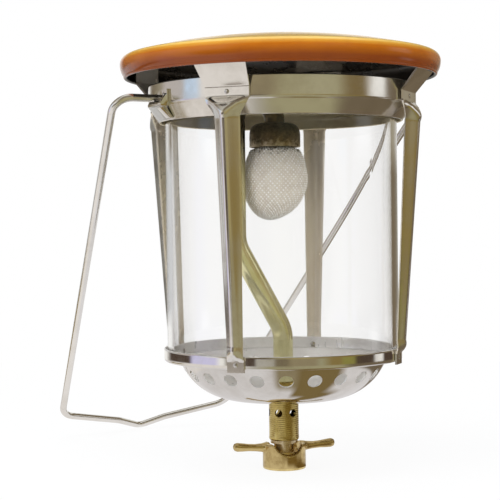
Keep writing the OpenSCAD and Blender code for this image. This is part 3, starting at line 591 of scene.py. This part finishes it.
def bag_point(a, z, inset):
    """A point of the bag, with shallow pleats where its top is drawn in and a soft sag."""
    draw = max(0, (z - PLEAT_Z) / (SHOULDER_Z - PLEAT_Z)) * (z <= BELL_LOW)
    r = max(LEAST_R, bag(z) - inset)
    pleat = PLEAT_DEEP * draw * (math.cos(PLEATS * a + math.sin(3 * a)) - 1)
    dent = UNEVEN_DEEP * (math.sin(3 * a + z * 0.21) * math.sin(z * 0.33) - 1) * max(0, 1 - draw)
    r = max(LEAST_R, r + (pleat + dent) * min(1, r / UNEVEN_FROM_R) * (z <= BELL_LOW))
    low = max(0, (MANTLE_BELLY_Z - z) / (MANTLE_BELLY_Z - MANTLE_LOW)) ** 2
    return ((BURNER_X + SAG.x * low + r * math.cos(a)) * MM,
            (SAG.y * low + r * math.sin(a)) * MM, z * MM)


corners, faces = [], []
for j, z in enumerate(bag_rows(LOOP_ROWS)):
    for i in range(LOOPS_ROUND):
        corners.append(bag_point(2 * math.pi * (i + 0.5 * (j % 2)) / LOOPS_ROUND, z, KNOT))
for j in range(LOOP_ROWS - 1):
    for i in range(LOOPS_ROUND):
        k = (i + 1) % LOOPS_ROUND
        up_left, up_right = (i, k) if j % 2 else ((i - 1) % LOOPS_ROUND, i)
        base, mid_row, top = j * LOOPS_ROUND, (j + 1) * LOOPS_ROUND, (j + 2) * LOOPS_ROUND
        faces.append((base + i, mid_row + up_right, top + i, mid_row + up_left))
net = mesh_object("mantle_net", corners, faces)
yarn = net.modifiers.new("yarn", "WIREFRAME")
yarn.thickness, yarn.offset, yarn.use_even_offset = YARN * MM, 0, False
settled(net)

one_knot = bmesh.new()
bmesh.ops.create_icosphere(one_knot, subdivisions=1, radius=KNOT * MM)
knot_corners = [v.co.copy() for v in one_knot.verts]
knot_faces = [[v.index for v in face.verts] for face in one_knot.faces]
one_knot.free()
spots = [Vector(p) for p in corners[LOOPS_ROUND * 2:]]
corners, faces = [], []
for n, spot in enumerate(spots):
    swell = 1 + KNOT_SPREAD * math.sin(2.4 * n + 1.7 * math.sin(0.37 * n))
    corners += [spot + p * swell for p in knot_corners]
    faces += [[n * len(knot_corners) + k for k in face] for face in knot_faces]
knots = mesh_object("mantle_knots", corners, faces)

corners, lining_rows = [], bag_rows(LINING_ROWS)
walls = [(z, LINING_OUT) for z in lining_rows] + [(z, LINING_IN) for z in reversed(lining_rows)]
for z, inset in walls:
    corners += [bag_point(2 * math.pi * i / LINING_STEPS, z, inset) for i in range(LINING_STEPS)]
lining = mesh_object("mantle_lining", corners, banded(len(walls), LINING_STEPS))
knit = sooted(metal(
    "mantle_knit", (0.78, 0.73, 0.64), (0.70, 0.64, 0.55), 0.7, 0.9,
    330, (2600, 2600, 2600), 900, 0.12, metallic=0), 135.8, 140.2, 10)
# The knots are the same cotton dressed whiter and glossier: a painted glint.
knot_painted_glint = sooted(metal(
    "knot_painted_glint", (0.97, 0.96, 0.93), (0.90, 0.88, 0.84), 0.2, 0.45,
    330, (2600, 2600, 2600), 900, 0.05, metallic=0), 136.6, 142, 10)
for piece in (net, knots, lining):
    fitted(piece, "lantern", "mantle_mesh", "mantle")
dressed(knit, net, lining)
dressed(knot_painted_glint, knots)

# Mantle tie: two strands of white cotton, twisted together and drawn tight round the
# mantle's neck, which holds it on the nozzle.
TIE_Z, TIE_MID_R, STRAND_R, TWISTS, TWIST_R = 140.6, 7.15, 0.26, 22, 0.2
TIE_STEPS, STRAND_SIDES = 720, 8
corners, faces = [], []
for strand in (0, 1):
    faces += [[len(corners) + k for k in face] for face in banded(TIE_STEPS, STRAND_SIDES)]
    for i in range(TIE_STEPS):
        a = 2 * math.pi * i / TIE_STEPS
        twist = TWISTS * a + strand * math.pi
        r = TIE_MID_R + TWIST_R * math.cos(twist)
        z = TIE_Z + TWIST_R * math.sin(twist)
        for k in range(STRAND_SIDES):
            b = 2 * math.pi * k / STRAND_SIDES
            out = r + STRAND_R * math.cos(b)
            corners.append(((BURNER_X + out * math.cos(a)) * MM, out * math.sin(a) * MM,
                            (z + STRAND_R * math.sin(b)) * MM))
tie = mesh_object("mantle_tie_twist", corners, faces)
fitted(tie, "lantern", "mantle_mesh", "mantle_tie")
dressed(knit, tie)

# Glass globe: a plain drawn tube of clear glass with fire-polished ends, which stays
# as the frame has it; its wall takes a little grey-green where it is looked along.
clear_glass, glass_tree, glass_shader = new_material("clear_glass")
glass_shader.inputs["Base Color"].default_value = (1, 1, 1, 1)
glass_shader.inputs["Transmission Weight"].default_value = 1
glass_shader.inputs["IOR"].default_value = 1.4
glass_finish = added(glass_tree, "ShaderNodeGroup", {"node_tree": handled_metal}, {
    "Smooth": 0.0, "Rough": 0.03, "Patches": 18, "Lines": (30, 30, 8), "Waves": 12})
glass_bump = added(glass_tree, "ShaderNodeBump", values={"Strength": 1, "Distance": 0.03 * MM})
glass_depth = added(glass_tree, "ShaderNodeVolumeAbsorption", values={
    "Color": (0.62, 0.66, 0.62, 1), "Density": 4})
wired(
    glass_tree,
    (glass_finish.outputs["Roughness"], glass_shader.inputs["Roughness"]),
    (glass_finish.outputs["Height"], glass_bump.inputs["Height"]),
    (glass_bump.outputs["Normal"], glass_shader.inputs["Normal"]),
    (glass_depth.outputs["Volume"], glass_tree.nodes["Material Output"].inputs["Volume"]))
globe = frame["nodes"]["globe_glass"]
dressed(clear_glass, globe)
globe.visible_shadow = False

# Chimney ring: a rolled band of plated sheet, smoked inside and painted lighter there
# against the hat's shade, with a step and a skirt that narrows to the glass; the struts
# and the bail's lugs are riveted to it.
RING_R, SKIRT_R, RING_LOW, STEP_Z, RING_TOP, STEP_OUT = 57.0, 52.3, 149.6, 155.6, 165.3, 0.8
PIVOT_Z, PIVOT_HOLE_R, DRILL_FROM, DRILL_TO = 158.3, 1.68, 40, 70
ring_path = softened([
    (SKIRT_R, RING_LOW, 0), (RING_R - STEP_OUT, STEP_Z, 0.6), (RING_R, STEP_Z + STEP_OUT, 1.5),
    (RING_R, RING_TOP, 0)], False)
ring = turned("chimney_ring_rolled", sheet(stepped(ring_path, 0.7), SHEET), SHEET_STEPS)
for way in (0, 180):
    drill = drum(PIVOT_HOLE_R, DRILL_FROM, DRILL_TO, steps=40)
    drill.data.transform(sideways(way, 0, PIVOT_Z))
    joined(ring, drill, "DIFFERENCE")
creased(ring, SHEET_CREASE)
fitted(ring, "lantern", "plated_sheet", "chimney_ring")
# The ring's inside: a smoky tint, painted lighter against the shade of the hat.
smoke_and_painted_light = metal("smoked_sheet", (0.97, 0.85, 0.58), (0.80, 0.67, 0.42), 0.3, 0.5,
               70, (600, 600, 120), 60, 0.06, metallic=0.25)
rolled = metal("rolled_sheet", (0.81, 0.79, 0.75), (0.72, 0.69, 0.64), 0.12, 0.22,
               55, (90, 90, 700), 42, 0.05)
faced(ring, rolled, smoke_and_painted_light)

# Struts: four pressings of plated sheet, each with a tab that stands inside the hat, a
# flat plate on the ring, a shoulder that bends out to a leg of round-backed vee, and a
# foot on the dish; their backs are dressed warmer and duller, and one strut is dressed
# darker all over as a painted dark reflection.
STRUT_TURNS = {"strut_front_left": 217.6, "strut_front_right": 307.6,
               "strut_back_right": 42.5, "strut_back_left": 127.6}
FOOT_R, FOOT_Z, RAMP_Z, PLATE_R, PLATE_Z = 51.55, 46.7, 51.0, 57.05, 154.0
CREASE_Z, TAB_R, TAB_Z, TAB_TOP = 161.0, 64.12, 169.6, 177.7
LEG_BEND, CREASE_BEND, TAB_BEND = 6, 2, 1.2
PLATE_HALF, TAB_HALF, FOOT_HALF, LEG_TOP, LEG_FOOT = 9.5, 11.0, 3.65, 5.65, 3.4
SHOULDER_TOP, SHOULDER_L, SHOULDER_BEND, RAMP_L, LEG_SINK = 156.8, 8.4, 1.8, 6.0, 0.15
FACET_SHARE, FLANK_ROUND, RIDGE_ROUND, RIDGE_STEPS, STRUT_COLUMNS = 0.7, 0.3, 2.0, 4, 44


def ease(u):
    """A smooth way from nought to one."""
    return (1 - math.cos(math.pi * min(1, max(0, u)))) / 2


def strut_section(z):
    """Points (aside, out) of the strut's outer face at a height, evenly spaced."""
    if z >= CREASE_Z:
        half = PLATE_HALF + (TAB_HALF - PLATE_HALF) * min(1, (z - CREASE_Z) / (TAB_Z - CREASE_Z))
        return [(half * (2 * i / STRUT_COLUMNS - 1), SHEET) for i in range(STRUT_COLUMNS + 1)]
    leg = LEG_FOOT + (LEG_TOP - LEG_FOOT) * (z - RAMP_Z) / (PLATE_Z - RAMP_Z)
    end, flat = ((FOOT_HALF, (RAMP_Z - z) / RAMP_L + 1) if z < (RAMP_Z + PLATE_Z) / 2
                 else (PLATE_HALF, (z - SHOULDER_TOP) / SHOULDER_L + 1))
    flat = min(1, max(0, flat))
    half = leg + (end - leg) * ease(flat)
    rise = (leg + RIDGE_ROUND / 2) * (1 - flat ** SHOULDER_BEND)
    facet = FACET_SHARE * half * flat
    base = LEG_SINK + (SHEET - LEG_SINK) * flat
    points = []
    for i in range(STRUT_COLUMNS + 1):
        aside, lift = half * (2 * i / STRUT_COLUMNS - 1), 0
        for k in range(-RIDGE_STEPS, RIDGE_STEPS + 1):
            reach = (half - abs(aside + RIDGE_ROUND * k / RIDGE_STEPS)) / (half - facet)
            reach = min(1, max(0, reach))
            flank = reach + FLANK_ROUND * (math.sin(math.pi / 2 * reach) - reach)
            lift += rise * flank / (2 * RIDGE_STEPS + 1)
        points.append((aside, base + lift))
    return points


strut_path = stepped(softened([
    (FOOT_R, FOOT_Z, 0), (FOOT_R, RAMP_Z, LEG_BEND), (PLATE_R, PLATE_Z, LEG_BEND),
    (PLATE_R, CREASE_Z, CREASE_BEND), (TAB_R, TAB_Z, TAB_BEND), (TAB_R, TAB_TOP, 0)],
    False, 8), 0.5)
pressed = metal("pressed_sheet", (0.82, 0.80, 0.76), (0.73, 0.70, 0.65), 0.15, 0.26,
                55, (700, 700, 90), 42, 0.05)
# A darker copy of the pressed sheet for one strut: a painted dark reflection.
painted_dark_reflection = metal("tarnished_sheet", (0.34, 0.32, 0.27), (0.22, 0.20, 0.16), 0.2, 0.36,
                  55, (700, 700, 90), 42, 0.05)
# The struts' backs: warmer and duller than their fronts.
warm_dull_back = metal("heat_tinted_sheet", (0.88, 0.82, 0.72), (0.80, 0.72, 0.59), 0.18, 0.3,
                    40, (120, 120, 16), 40, 0.04, metallic=0.45)
for name, turn in STRUT_TURNS.items():
    corners, spin = [], Matrix.Rotation(math.radians(turn), 3, "Z")
    for i, (x, z) in enumerate(strut_path):
        p, q = strut_path[max(0, i - 1)], strut_path[min(len(strut_path) - 1, i + 1)]
        run = Vector((q[0] - p[0], q[1] - p[1])).normalized()
        for y, out in strut_section(z):
            corners.append(spin @ Vector((x + out * run.y, y, z - out * run.x)) * MM)
    strut = mesh_object(name + "_pressing", corners, banded(
        len(strut_path), STRUT_COLUMNS + 1, round_rows=False, round_columns=False))
    gauge = strut.modifiers.new("gauge", "SOLIDIFY")
    gauge.thickness, gauge.offset = SHEET * MM, -1
    settled(strut)
    creased(strut, 50)
    fitted(strut, "lantern", "plated_sheet", name)
    faced(strut, painted_dark_reflection if name == "strut_back_left" else pressed, warm_dull_back)

# Rivets: plain steel with low round heads; four hold the struts' plates to the ring,
# four their feet to the dish, and four the bail's lugs to the ring.
RIVET_R, HEAD_R, HEAD_H, TAIL_R, TAIL_H = 0.8, 1.0, 0.35, 1.2, 0.4
# Each kind: the radius at its inner and its outer sheet, and its height
PLATE_RIVET = (56.15, 57.85, 158.7)
FOOT_RIVET = (50.65, 52.35, 49.7)
LUG_RIVET = (56.15, 58.05, 159.5)
LUG_RIVET_TURN = 3.42
rivet_steel = metal("rivet_steel", (0.74, 0.73, 0.71), (0.50, 0.48, 0.45), 0.16, 0.34,
                    500, (1800, 1800, 1800), 500, 0.03)


def rivet_set(node, turns, inner, outer, z):
    """One group of alike rivets, each at a turn round the lantern."""
    head = [(HEAD_R * math.cos(a), HEAD_H * math.sin(a))
            for a in [math.pi / 2 * i / 8 for i in range(9)]]
    outline = ([(0, -TAIL_H), (TAIL_R * 0.8, -TAIL_H), (TAIL_R, -TAIL_H / 2), (TAIL_R, 0),
                (RIVET_R, 0), (RIVET_R, outer - inner)]
               + [(r, h + outer - inner) for r, h in head])
    whole = bmesh.new()
    for turn in turns:
        one = turned("rivet", outline, 40)
        one.data.transform(sideways(turn, inner, z))
        whole.from_mesh(one.data)
        bpy.data.objects.remove(one)
    mesh = bpy.data.meshes.new(node + "_headed")
    whole.to_mesh(mesh)
    whole.free()
    mesh.shade_smooth()
    obj = new_object(node + "_headed", mesh)
    creased(obj, 45)
    fitted(obj, "lantern", "rivet_steel", node)
    dressed(rivet_steel, obj)


rivet_set("plate_rivets", STRUT_TURNS.values(), *PLATE_RIVET)
rivet_set("foot_rivets", STRUT_TURNS.values(), *FOOT_RIVET)
rivet_set("lug_rivets", [way + lean for way in (0, 180)
                         for lean in (-LUG_RIVET_TURN, LUG_RIVET_TURN)], *LUG_RIVET)
dressed(rivet_steel, washer)

# Bail lugs: small folded brackets of plated sheet, riveted to the ring on both sides
# and pierced for the ends of the bail.
LUG_EDGE = 0.18
for lug in ("bail_lug_left", "bail_lug_right"):
    dressed(plated, eased(lug + "_folded", lug, LUG_EDGE))

# Bail: one length of bright plated wire, sprung into the lugs, which stays as the
# frame has it, with its bends and the dip that hangs on a hook.
plated_wire = metal("plated_wire", (0.90, 0.89, 0.86), (0.80, 0.78, 0.73), 0.14, 0.24,
                    40, (300, 300, 40), 40, 0.02)
dressed(plated_wire, frame["nodes"]["bail"])

# Hat: a shallow spun dome with a rolled rim, enamelled orange outside and black
# inside; it drops over the four tabs and rests on its rim's bead.
HAT_R, RIM_Z, RIM_H, RIM_LOW_R, RIM_UP_R, DOME_SLOPE = 69.0, 174.8, 5.2, 8.8, 3.9, 13.6
BEAD_R, BEAD_MID_R, HAT_MID_Z, HAT_STEPS = 0.75, 66.8, 160, 360
# Enamel by height on the rim: painted shade low down, and a painted highlight where the rim turns
# to the dome
PAINTED_LIGHT_LOW, PAINTED_LIGHT_HIGH = 171.5, 178.3
PAINTED_LIGHT_STOPS = [(0, (0.20, 0.042, 0.005)), (0.6, (0.44, 0.125, 0.004)),
              (0.82, (0.64, 0.31, 0.035)), (0.92, (0.82, 0.56, 0.15))]
dome_end = 90 - DOME_SLOPE
dome_r = (HAT_R - RIM_UP_R + RIM_UP_R * math.cos(math.radians(dome_end))) / math.sin(
    math.radians(DOME_SLOPE))
dome_mid = RIM_Z + RIM_UP_R * math.sin(math.radians(dome_end)) - dome_r * math.cos(
    math.radians(DOME_SLOPE))
rim_start = -math.degrees(math.asin(RIM_H / RIM_LOW_R))


def hat_face(inset):
    """The hat's outline from its rim's lower edge to the crown, set in by a thickness."""
    return (arc((HAT_R - RIM_LOW_R, RIM_Z), RIM_LOW_R - inset, rim_start, 0, 16)
            + arc((HAT_R - RIM_UP_R, RIM_Z), RIM_UP_R - inset, 0, dome_end, 32)[1:]
            + arc((0, dome_mid), dome_r - inset, dome_end, 90, 60)[1:])


outer_face, inner_face = hat_face(0), hat_face(SHEET)
bead = arc((BEAD_MID_R, RIM_Z - RIM_H), BEAD_R, 150, 400, 16)
hat = turned("hat_enamelled", outer_face + inner_face[::-1] + bead, HAT_STEPS)

orange_enamel, enamel_tree, enamel_shader = new_material("orange_enamel")
enamel_shader.inputs["Specular IOR Level"].default_value = 0.3
enamel_shader.inputs["Coat Weight"].default_value = 0.2
enamel_shader.inputs["Coat Roughness"].default_value = 0.04
enamel_finish = added(enamel_tree, "ShaderNodeGroup", {"node_tree": handled_metal}, {
    "Bright": (1, 1, 1, 1), "Dull": (0.90, 0.82, 0.72, 1), "Smooth": 0.1,
    "Rough": 0.22, "Patches": 38, "Lines": (900, 900, 900), "Waves": 130})
enamel_place = added(enamel_tree, "ShaderNodeTexCoord")
enamel_axes = added(enamel_tree, "ShaderNodeSeparateXYZ")
enamel_height = added(enamel_tree, "ShaderNodeMapRange", values={
    "From Min": PAINTED_LIGHT_LOW * MM, "From Max": PAINTED_LIGHT_HIGH * MM})
# The ramp paints shade on the rim's lower part and a highlight along its top, over the enamel's
# own orange.
enamel_painted_light = added(enamel_tree, "ShaderNodeValToRGB")
painted_light_ramp = enamel_painted_light.color_ramp.elements
painted_light_ramp.remove(painted_light_ramp[1])
for height, colour in PAINTED_LIGHT_STOPS:
    stop = painted_light_ramp.new(height) if height else painted_light_ramp[0]
    stop.color = (*colour, 1)
enamel_tint = added(enamel_tree, "ShaderNodeMix", {
    "data_type": "RGBA", "blend_type": "MULTIPLY"}, {"Factor": 1})
enamel_bump = added(enamel_tree, "ShaderNodeBump",
                    values={"Strength": 1, "Distance": 0.03 * MM})
wired(
    enamel_tree,
    (enamel_place.outputs["Object"], enamel_axes.inputs[0]),
    (enamel_axes.outputs["Z"], enamel_height.inputs["Value"]),
    (enamel_height.outputs["Result"], enamel_painted_light.inputs["Fac"]),
    (enamel_painted_light.outputs["Color"], enamel_tint.inputs["A"]),
    (enamel_finish.outputs["Colour"], enamel_tint.inputs["B"]),
    (enamel_tint.outputs["Result"], enamel_shader.inputs["Base Color"]),
    (enamel_finish.outputs["Roughness"], enamel_shader.inputs["Roughness"]),
    (enamel_finish.outputs["Height"], enamel_bump.inputs["Height"]),
    (enamel_bump.outputs["Normal"], enamel_shader.inputs["Normal"]))
black_enamel = metal("black_enamel", (0.018, 0.014, 0.009), (0.036, 0.028, 0.018), 0.2, 0.42,
                     70, (800, 800, 800), 120, 0.04, metallic=0)
faced(hat, orange_enamel, black_enamel, HAT_MID_Z)
fitted(hat, "lantern", "enamel", "hat")

# Studio: a pale floor that keeps the shadow, a white room that metal and glass show
# too, soft lamps, and a painted screen outside the picture that only gloss shows.
FLOOR_DROP, FLOOR_SIDE = 0.3 * MM, 6.0
SHADE_NEAR, SHADE_FAR, SHADE_KEPT = 0.12, 0.5, 0.1
floor = mesh_object("floor", [(x * FLOOR_SIDE, y * FLOOR_SIDE, -FLOOR_DROP)
                              for x, y in ((-1, -1), (1, -1), (1, 1), (-1, 1))], [(0, 1, 2, 3)])


def seen_white(tree):
    """One for rays of the camera, of gloss and of glass, nought for the rest."""
    path = added(tree, "ShaderNodeLightPath")
    first = added(tree, "ShaderNodeMath", {"operation": "MAXIMUM"})
    both = added(tree, "ShaderNodeMath", {"operation": "MAXIMUM"})
    wired(
        tree,
        (path.outputs["Is Camera Ray"], first.inputs[0]),
        (path.outputs["Is Glossy Ray"], first.inputs[1]),
        (first.outputs["Value"], both.inputs[0]),
        (path.outputs["Is Transmission Ray"], both.inputs[1]))
    return both.outputs["Value"]


pale, pale_tree, pale_shader = new_material("pale_floor")
pale_shader.inputs["Base Color"].default_value = (0.97, 0.97, 0.97, 1)
pale_shader.inputs["Roughness"].default_value = 0.9
pale_shader.inputs["Specular IOR Level"].default_value = 0
white = added(pale_tree, "ShaderNodeEmission", values={"Strength": 1})
floor_place = added(pale_tree, "ShaderNodeTexCoord")
floor_reach = added(pale_tree, "ShaderNodeVectorMath", {"operation": "LENGTH"})
floor_fade = added(pale_tree, "ShaderNodeMapRange", {"interpolation_type": "SMOOTHSTEP"}, {
    "From Min": SHADE_NEAR, "From Max": SHADE_FAR, "To Min": 1 - SHADE_KEPT, "To Max": 1})
share_white = added(pale_tree, "ShaderNodeMath", {"operation": "MULTIPLY"})
pale_mix = added(pale_tree, "ShaderNodeMixShader")
wired(
    pale_tree,
    (floor_place.outputs["Object"], floor_reach.inputs[0]),
    (floor_reach.outputs["Value"], floor_fade.inputs["Value"]),
    (seen_white(pale_tree), share_white.inputs[0]),
    (floor_fade.outputs["Result"], share_white.inputs[1]),
    (share_white.outputs["Value"], pale_mix.inputs[0]),
    (pale_shader.outputs[0], pale_mix.inputs[1]),
    (white.outputs[0], pale_mix.inputs[2]),
    (pale_mix.outputs[0], pale_tree.nodes["Material Output"].inputs["Surface"]))
dressed(pale, floor)

world = bpy.data.worlds.new("studio")
world.use_nodes = True
bpy.context.scene.world = world
sky_tree = world.node_tree
room_light = sky_tree.nodes["Background"]
room_light.inputs["Color"].default_value = (0.95, 0.97, 1, 1)
room_light.inputs["Strength"].default_value = 0.75
white_room = added(sky_tree, "ShaderNodeBackground", values={
    "Color": (1, 1, 1, 1), "Strength": 1})
sky_mix = added(sky_tree, "ShaderNodeMixShader")
wired(
    sky_tree,
    (seen_white(sky_tree), sky_mix.inputs[0]),
    (room_light.outputs[0], sky_mix.inputs[1]),
    (white_room.outputs[0], sky_mix.inputs[2]),
    (sky_mix.outputs[0], sky_tree.nodes["World Output"].inputs["Surface"]))


def from_eye(turn, out, height):
    """A place at a turn to the right of the camera's own, seen from above."""
    a = eye_turn + math.radians(turn)
    return Vector((math.sin(a) * out, -math.cos(a) * out, height))


LAMP_AIM = Vector((0, 0, 0.1))
for name, turn, out, height, size, power in (
        ("window_lamp", -52, 1.3, 0.8, 0.8, 7), ("room_lamp", 35, 1.4, 0.8, 0.9, 6),
        ("ceiling_lamp", -20, 0.5, 1.5, 0.7, 5)):
    lamp = new_object(name, bpy.data.lights.new(name, "AREA"))
    lamp.data.size, lamp.data.energy = size, power
    lamp.location = from_eye(turn, out, height)
    lamp.rotation_euler = (LAMP_AIM - lamp.location).to_track_quat("-Z", "Y").to_euler()

# Paints of the screen, and for each of its rows the paint at turns from the camera's own
WHITE = (0.96, 0.95, 0.93)
CREAM = (0.83, 0.79, 0.76)
PALE = (0.75, 0.73, 0.74)
SILVER = (0.62, 0.62, 0.62)
GREY = (0.48, 0.46, 0.41)
ROSE = (0.54, 0.50, 0.48)
LILAC = (0.68, 0.66, 0.92)
SKY = (0.62, 0.78, 1.0)
ASH = (0.36, 0.34, 0.21)
OLIVE = (0.38, 0.35, 0.21)
MOSS = (0.28, 0.26, 0.07)
HONEY = (0.40, 0.33, 0.14)
GOLD = (0.26, 0.19, 0.065)
STRAW = (0.30, 0.25, 0.15)
TAN = (0.33, 0.29, 0.21)
BARK = (0.21, 0.15, 0.06)
UMBER = (0.18, 0.14, 0.09)
DARK = (0.08, 0.055, 0.04)
SCREEN_LOW, WALL_OUT, CEILING_Z, SCREEN_STEPS = 0.001, 0.45, 0.90, 360
deep_bowl = [(-180, PALE), (36, PALE), (46, BARK), (98, BARK), (108, PALE), (180, PALE)]
under_bowl = [(-180, PALE), (8, PALE), (17, BARK), (84, BARK), (96, PALE), (180, PALE)]
round_bowl = [(-180, PALE), (-12, PALE), (-5, STRAW), (10, STRAW), (18, BARK), (56, BARK),
              (68, PALE), (180, PALE)]
near_floor = [(-180, PALE), (-105, CREAM), (-40, CREAM), (-25, GREY), (-10, OLIVE), (50, OLIVE),
              (64, UMBER), (150, UMBER), (160, PALE), (180, PALE)]
far_floor = [(-180, PALE), (-130, PALE), (-124, GOLD), (-106, GOLD),
             (-100, CREAM)] + near_floor[2:]
low_wall = [(-180, WHITE), (-146, WHITE), (-130, DARK), (-96, DARK), (-90, LILAC), (-64, LILAC),
            (-58, WHITE), (-55, WHITE), (-50, UMBER), (-38, UMBER), (-33, DARK), (-26, DARK),
            (-23, GREY), (-9, GREY), (-6, UMBER), (3, UMBER), (7, STRAW), (28, STRAW), (34, ASH),
            (44, GOLD), (52, GOLD), (56, MOSS), (66, MOSS), (70, DARK), (90, DARK), (94, WHITE),
            (103, WHITE), (107, DARK), (126, DARK), (140, UMBER), (152, UMBER), (158, WHITE),
            (180, WHITE)]
leg_wall = [(-180, GREY), (-150, SILVER), (-120, SILVER), (-112, ROSE), (-95, ROSE), (-88, LILAC),
            (-82, LILAC), (-72, CREAM), (-64, CREAM), (-54, UMBER), (-44, DARK), (-16, DARK),
            (-6, OLIVE), (6, HONEY), (22, HONEY), (32, GOLD), (72, GOLD), (80, UMBER),
            (152, UMBER), (164, GREY), (180, GREY)]
ring_wall = [(-180, WHITE), (-152, WHITE), (-140, UMBER), (-118, TAN), (-110, ROSE), (-86, ROSE),
             (-82, SKY), (-71, SKY), (-66, CREAM), (-38, CREAM), (-30, STRAW), (-6, STRAW),
             (2, OLIVE), (46, OLIVE), (56, BARK), (72, BARK), (80, WHITE), (93, WHITE),
             (98, UMBER), (116, UMBER), (126, TAN), (150, TAN), (164, WHITE), (180, WHITE)]
high_wall = [(-180, UMBER), (-86, UMBER), (-70, GREY), (-36, GREY), (-24, UMBER),
             (180, UMBER)]
ceiling = [(-180, WHITE), (-112, WHITE), (-80, GREY), (80, GREY), (112, WHITE), (180, WHITE)]
floor_rows = [(deep_bowl, 0.004, 0.010), (under_bowl, 0.022, 0.03), (round_bowl, 0.044, 0.095),
              (near_floor, 0.105, 0.19), (far_floor, 0.20, 0.32), (near_floor, 0.33, 0.40)]
wall_rows = [(low_wall, SCREEN_LOW, 0.028), (leg_wall, 0.045, 0.14), (ring_wall, 0.165, 0.28),
             (high_wall, 0.34, 0.80)]
room = ([(out, SCREEN_LOW, stops) for stops, *outs in floor_rows for out in outs]
        + [(WALL_OUT, height, stops) for stops, *heights in wall_rows for height in heights]
        + [(out, CEILING_Z, ceiling) for out in (0.40, 0.03)])


def paint_at(stops, turn):
    """The paint of a row at a turn, blended between the stops on both sides."""
    for (low, a), (high, b) in zip(stops, stops[1:]):
        if low <= turn <= high:
            return Vector(a).lerp(Vector(b), (turn - low) / (high - low))


corners, paints = [], []
for out, height, stops in room:
    for i in range(SCREEN_STEPS):
        turn = -180 + 360 * i / SCREEN_STEPS
        corners.append(from_eye(turn, out, height))
        paints.append(paint_at(stops, turn))
screen = mesh_object("room_screen", corners, banded(len(room), SCREEN_STEPS, round_rows=False))
coat = screen.data.color_attributes.new("paint", "FLOAT_COLOR", "POINT")
for spot, paint in zip(coat.data, paints):
    spot.color = (*paint, 1)
room_paint = bpy.data.materials.new("room_paint")
room_paint.use_nodes = True
room_tree = room_paint.node_tree
room_path = added(room_tree, "ShaderNodeLightPath")
room_colour = added(room_tree, "ShaderNodeVertexColor", {"layer_name": "paint"})
room_glow = added(room_tree, "ShaderNodeEmission", values={"Strength": 1})
room_clear = added(room_tree, "ShaderNodeBsdfTransparent")
room_mix = added(room_tree, "ShaderNodeMixShader")
room_once = added(room_tree, "ShaderNodeMath", {"operation": "MINIMUM"}, {1: 1})
wired(
    room_tree,
    (room_path.outputs["Glossy Depth"], room_once.inputs[0]),
    (room_once.outputs["Value"], room_mix.inputs[0]),
    (room_colour.outputs["Color"], room_glow.inputs["Color"]),
    (room_clear.outputs[0], room_mix.inputs[1]),
    (room_glow.outputs[0], room_mix.inputs[2]),
    (room_mix.outputs[0], room_tree.nodes["Material Output"].inputs["Surface"]))
dressed(room_paint, screen)
screen.visible_camera = screen.visible_diffuse = screen.visible_shadow = False

# Picture: colours are shown as they are.
bpy.context.scene.view_settings.view_transform = "Standard"
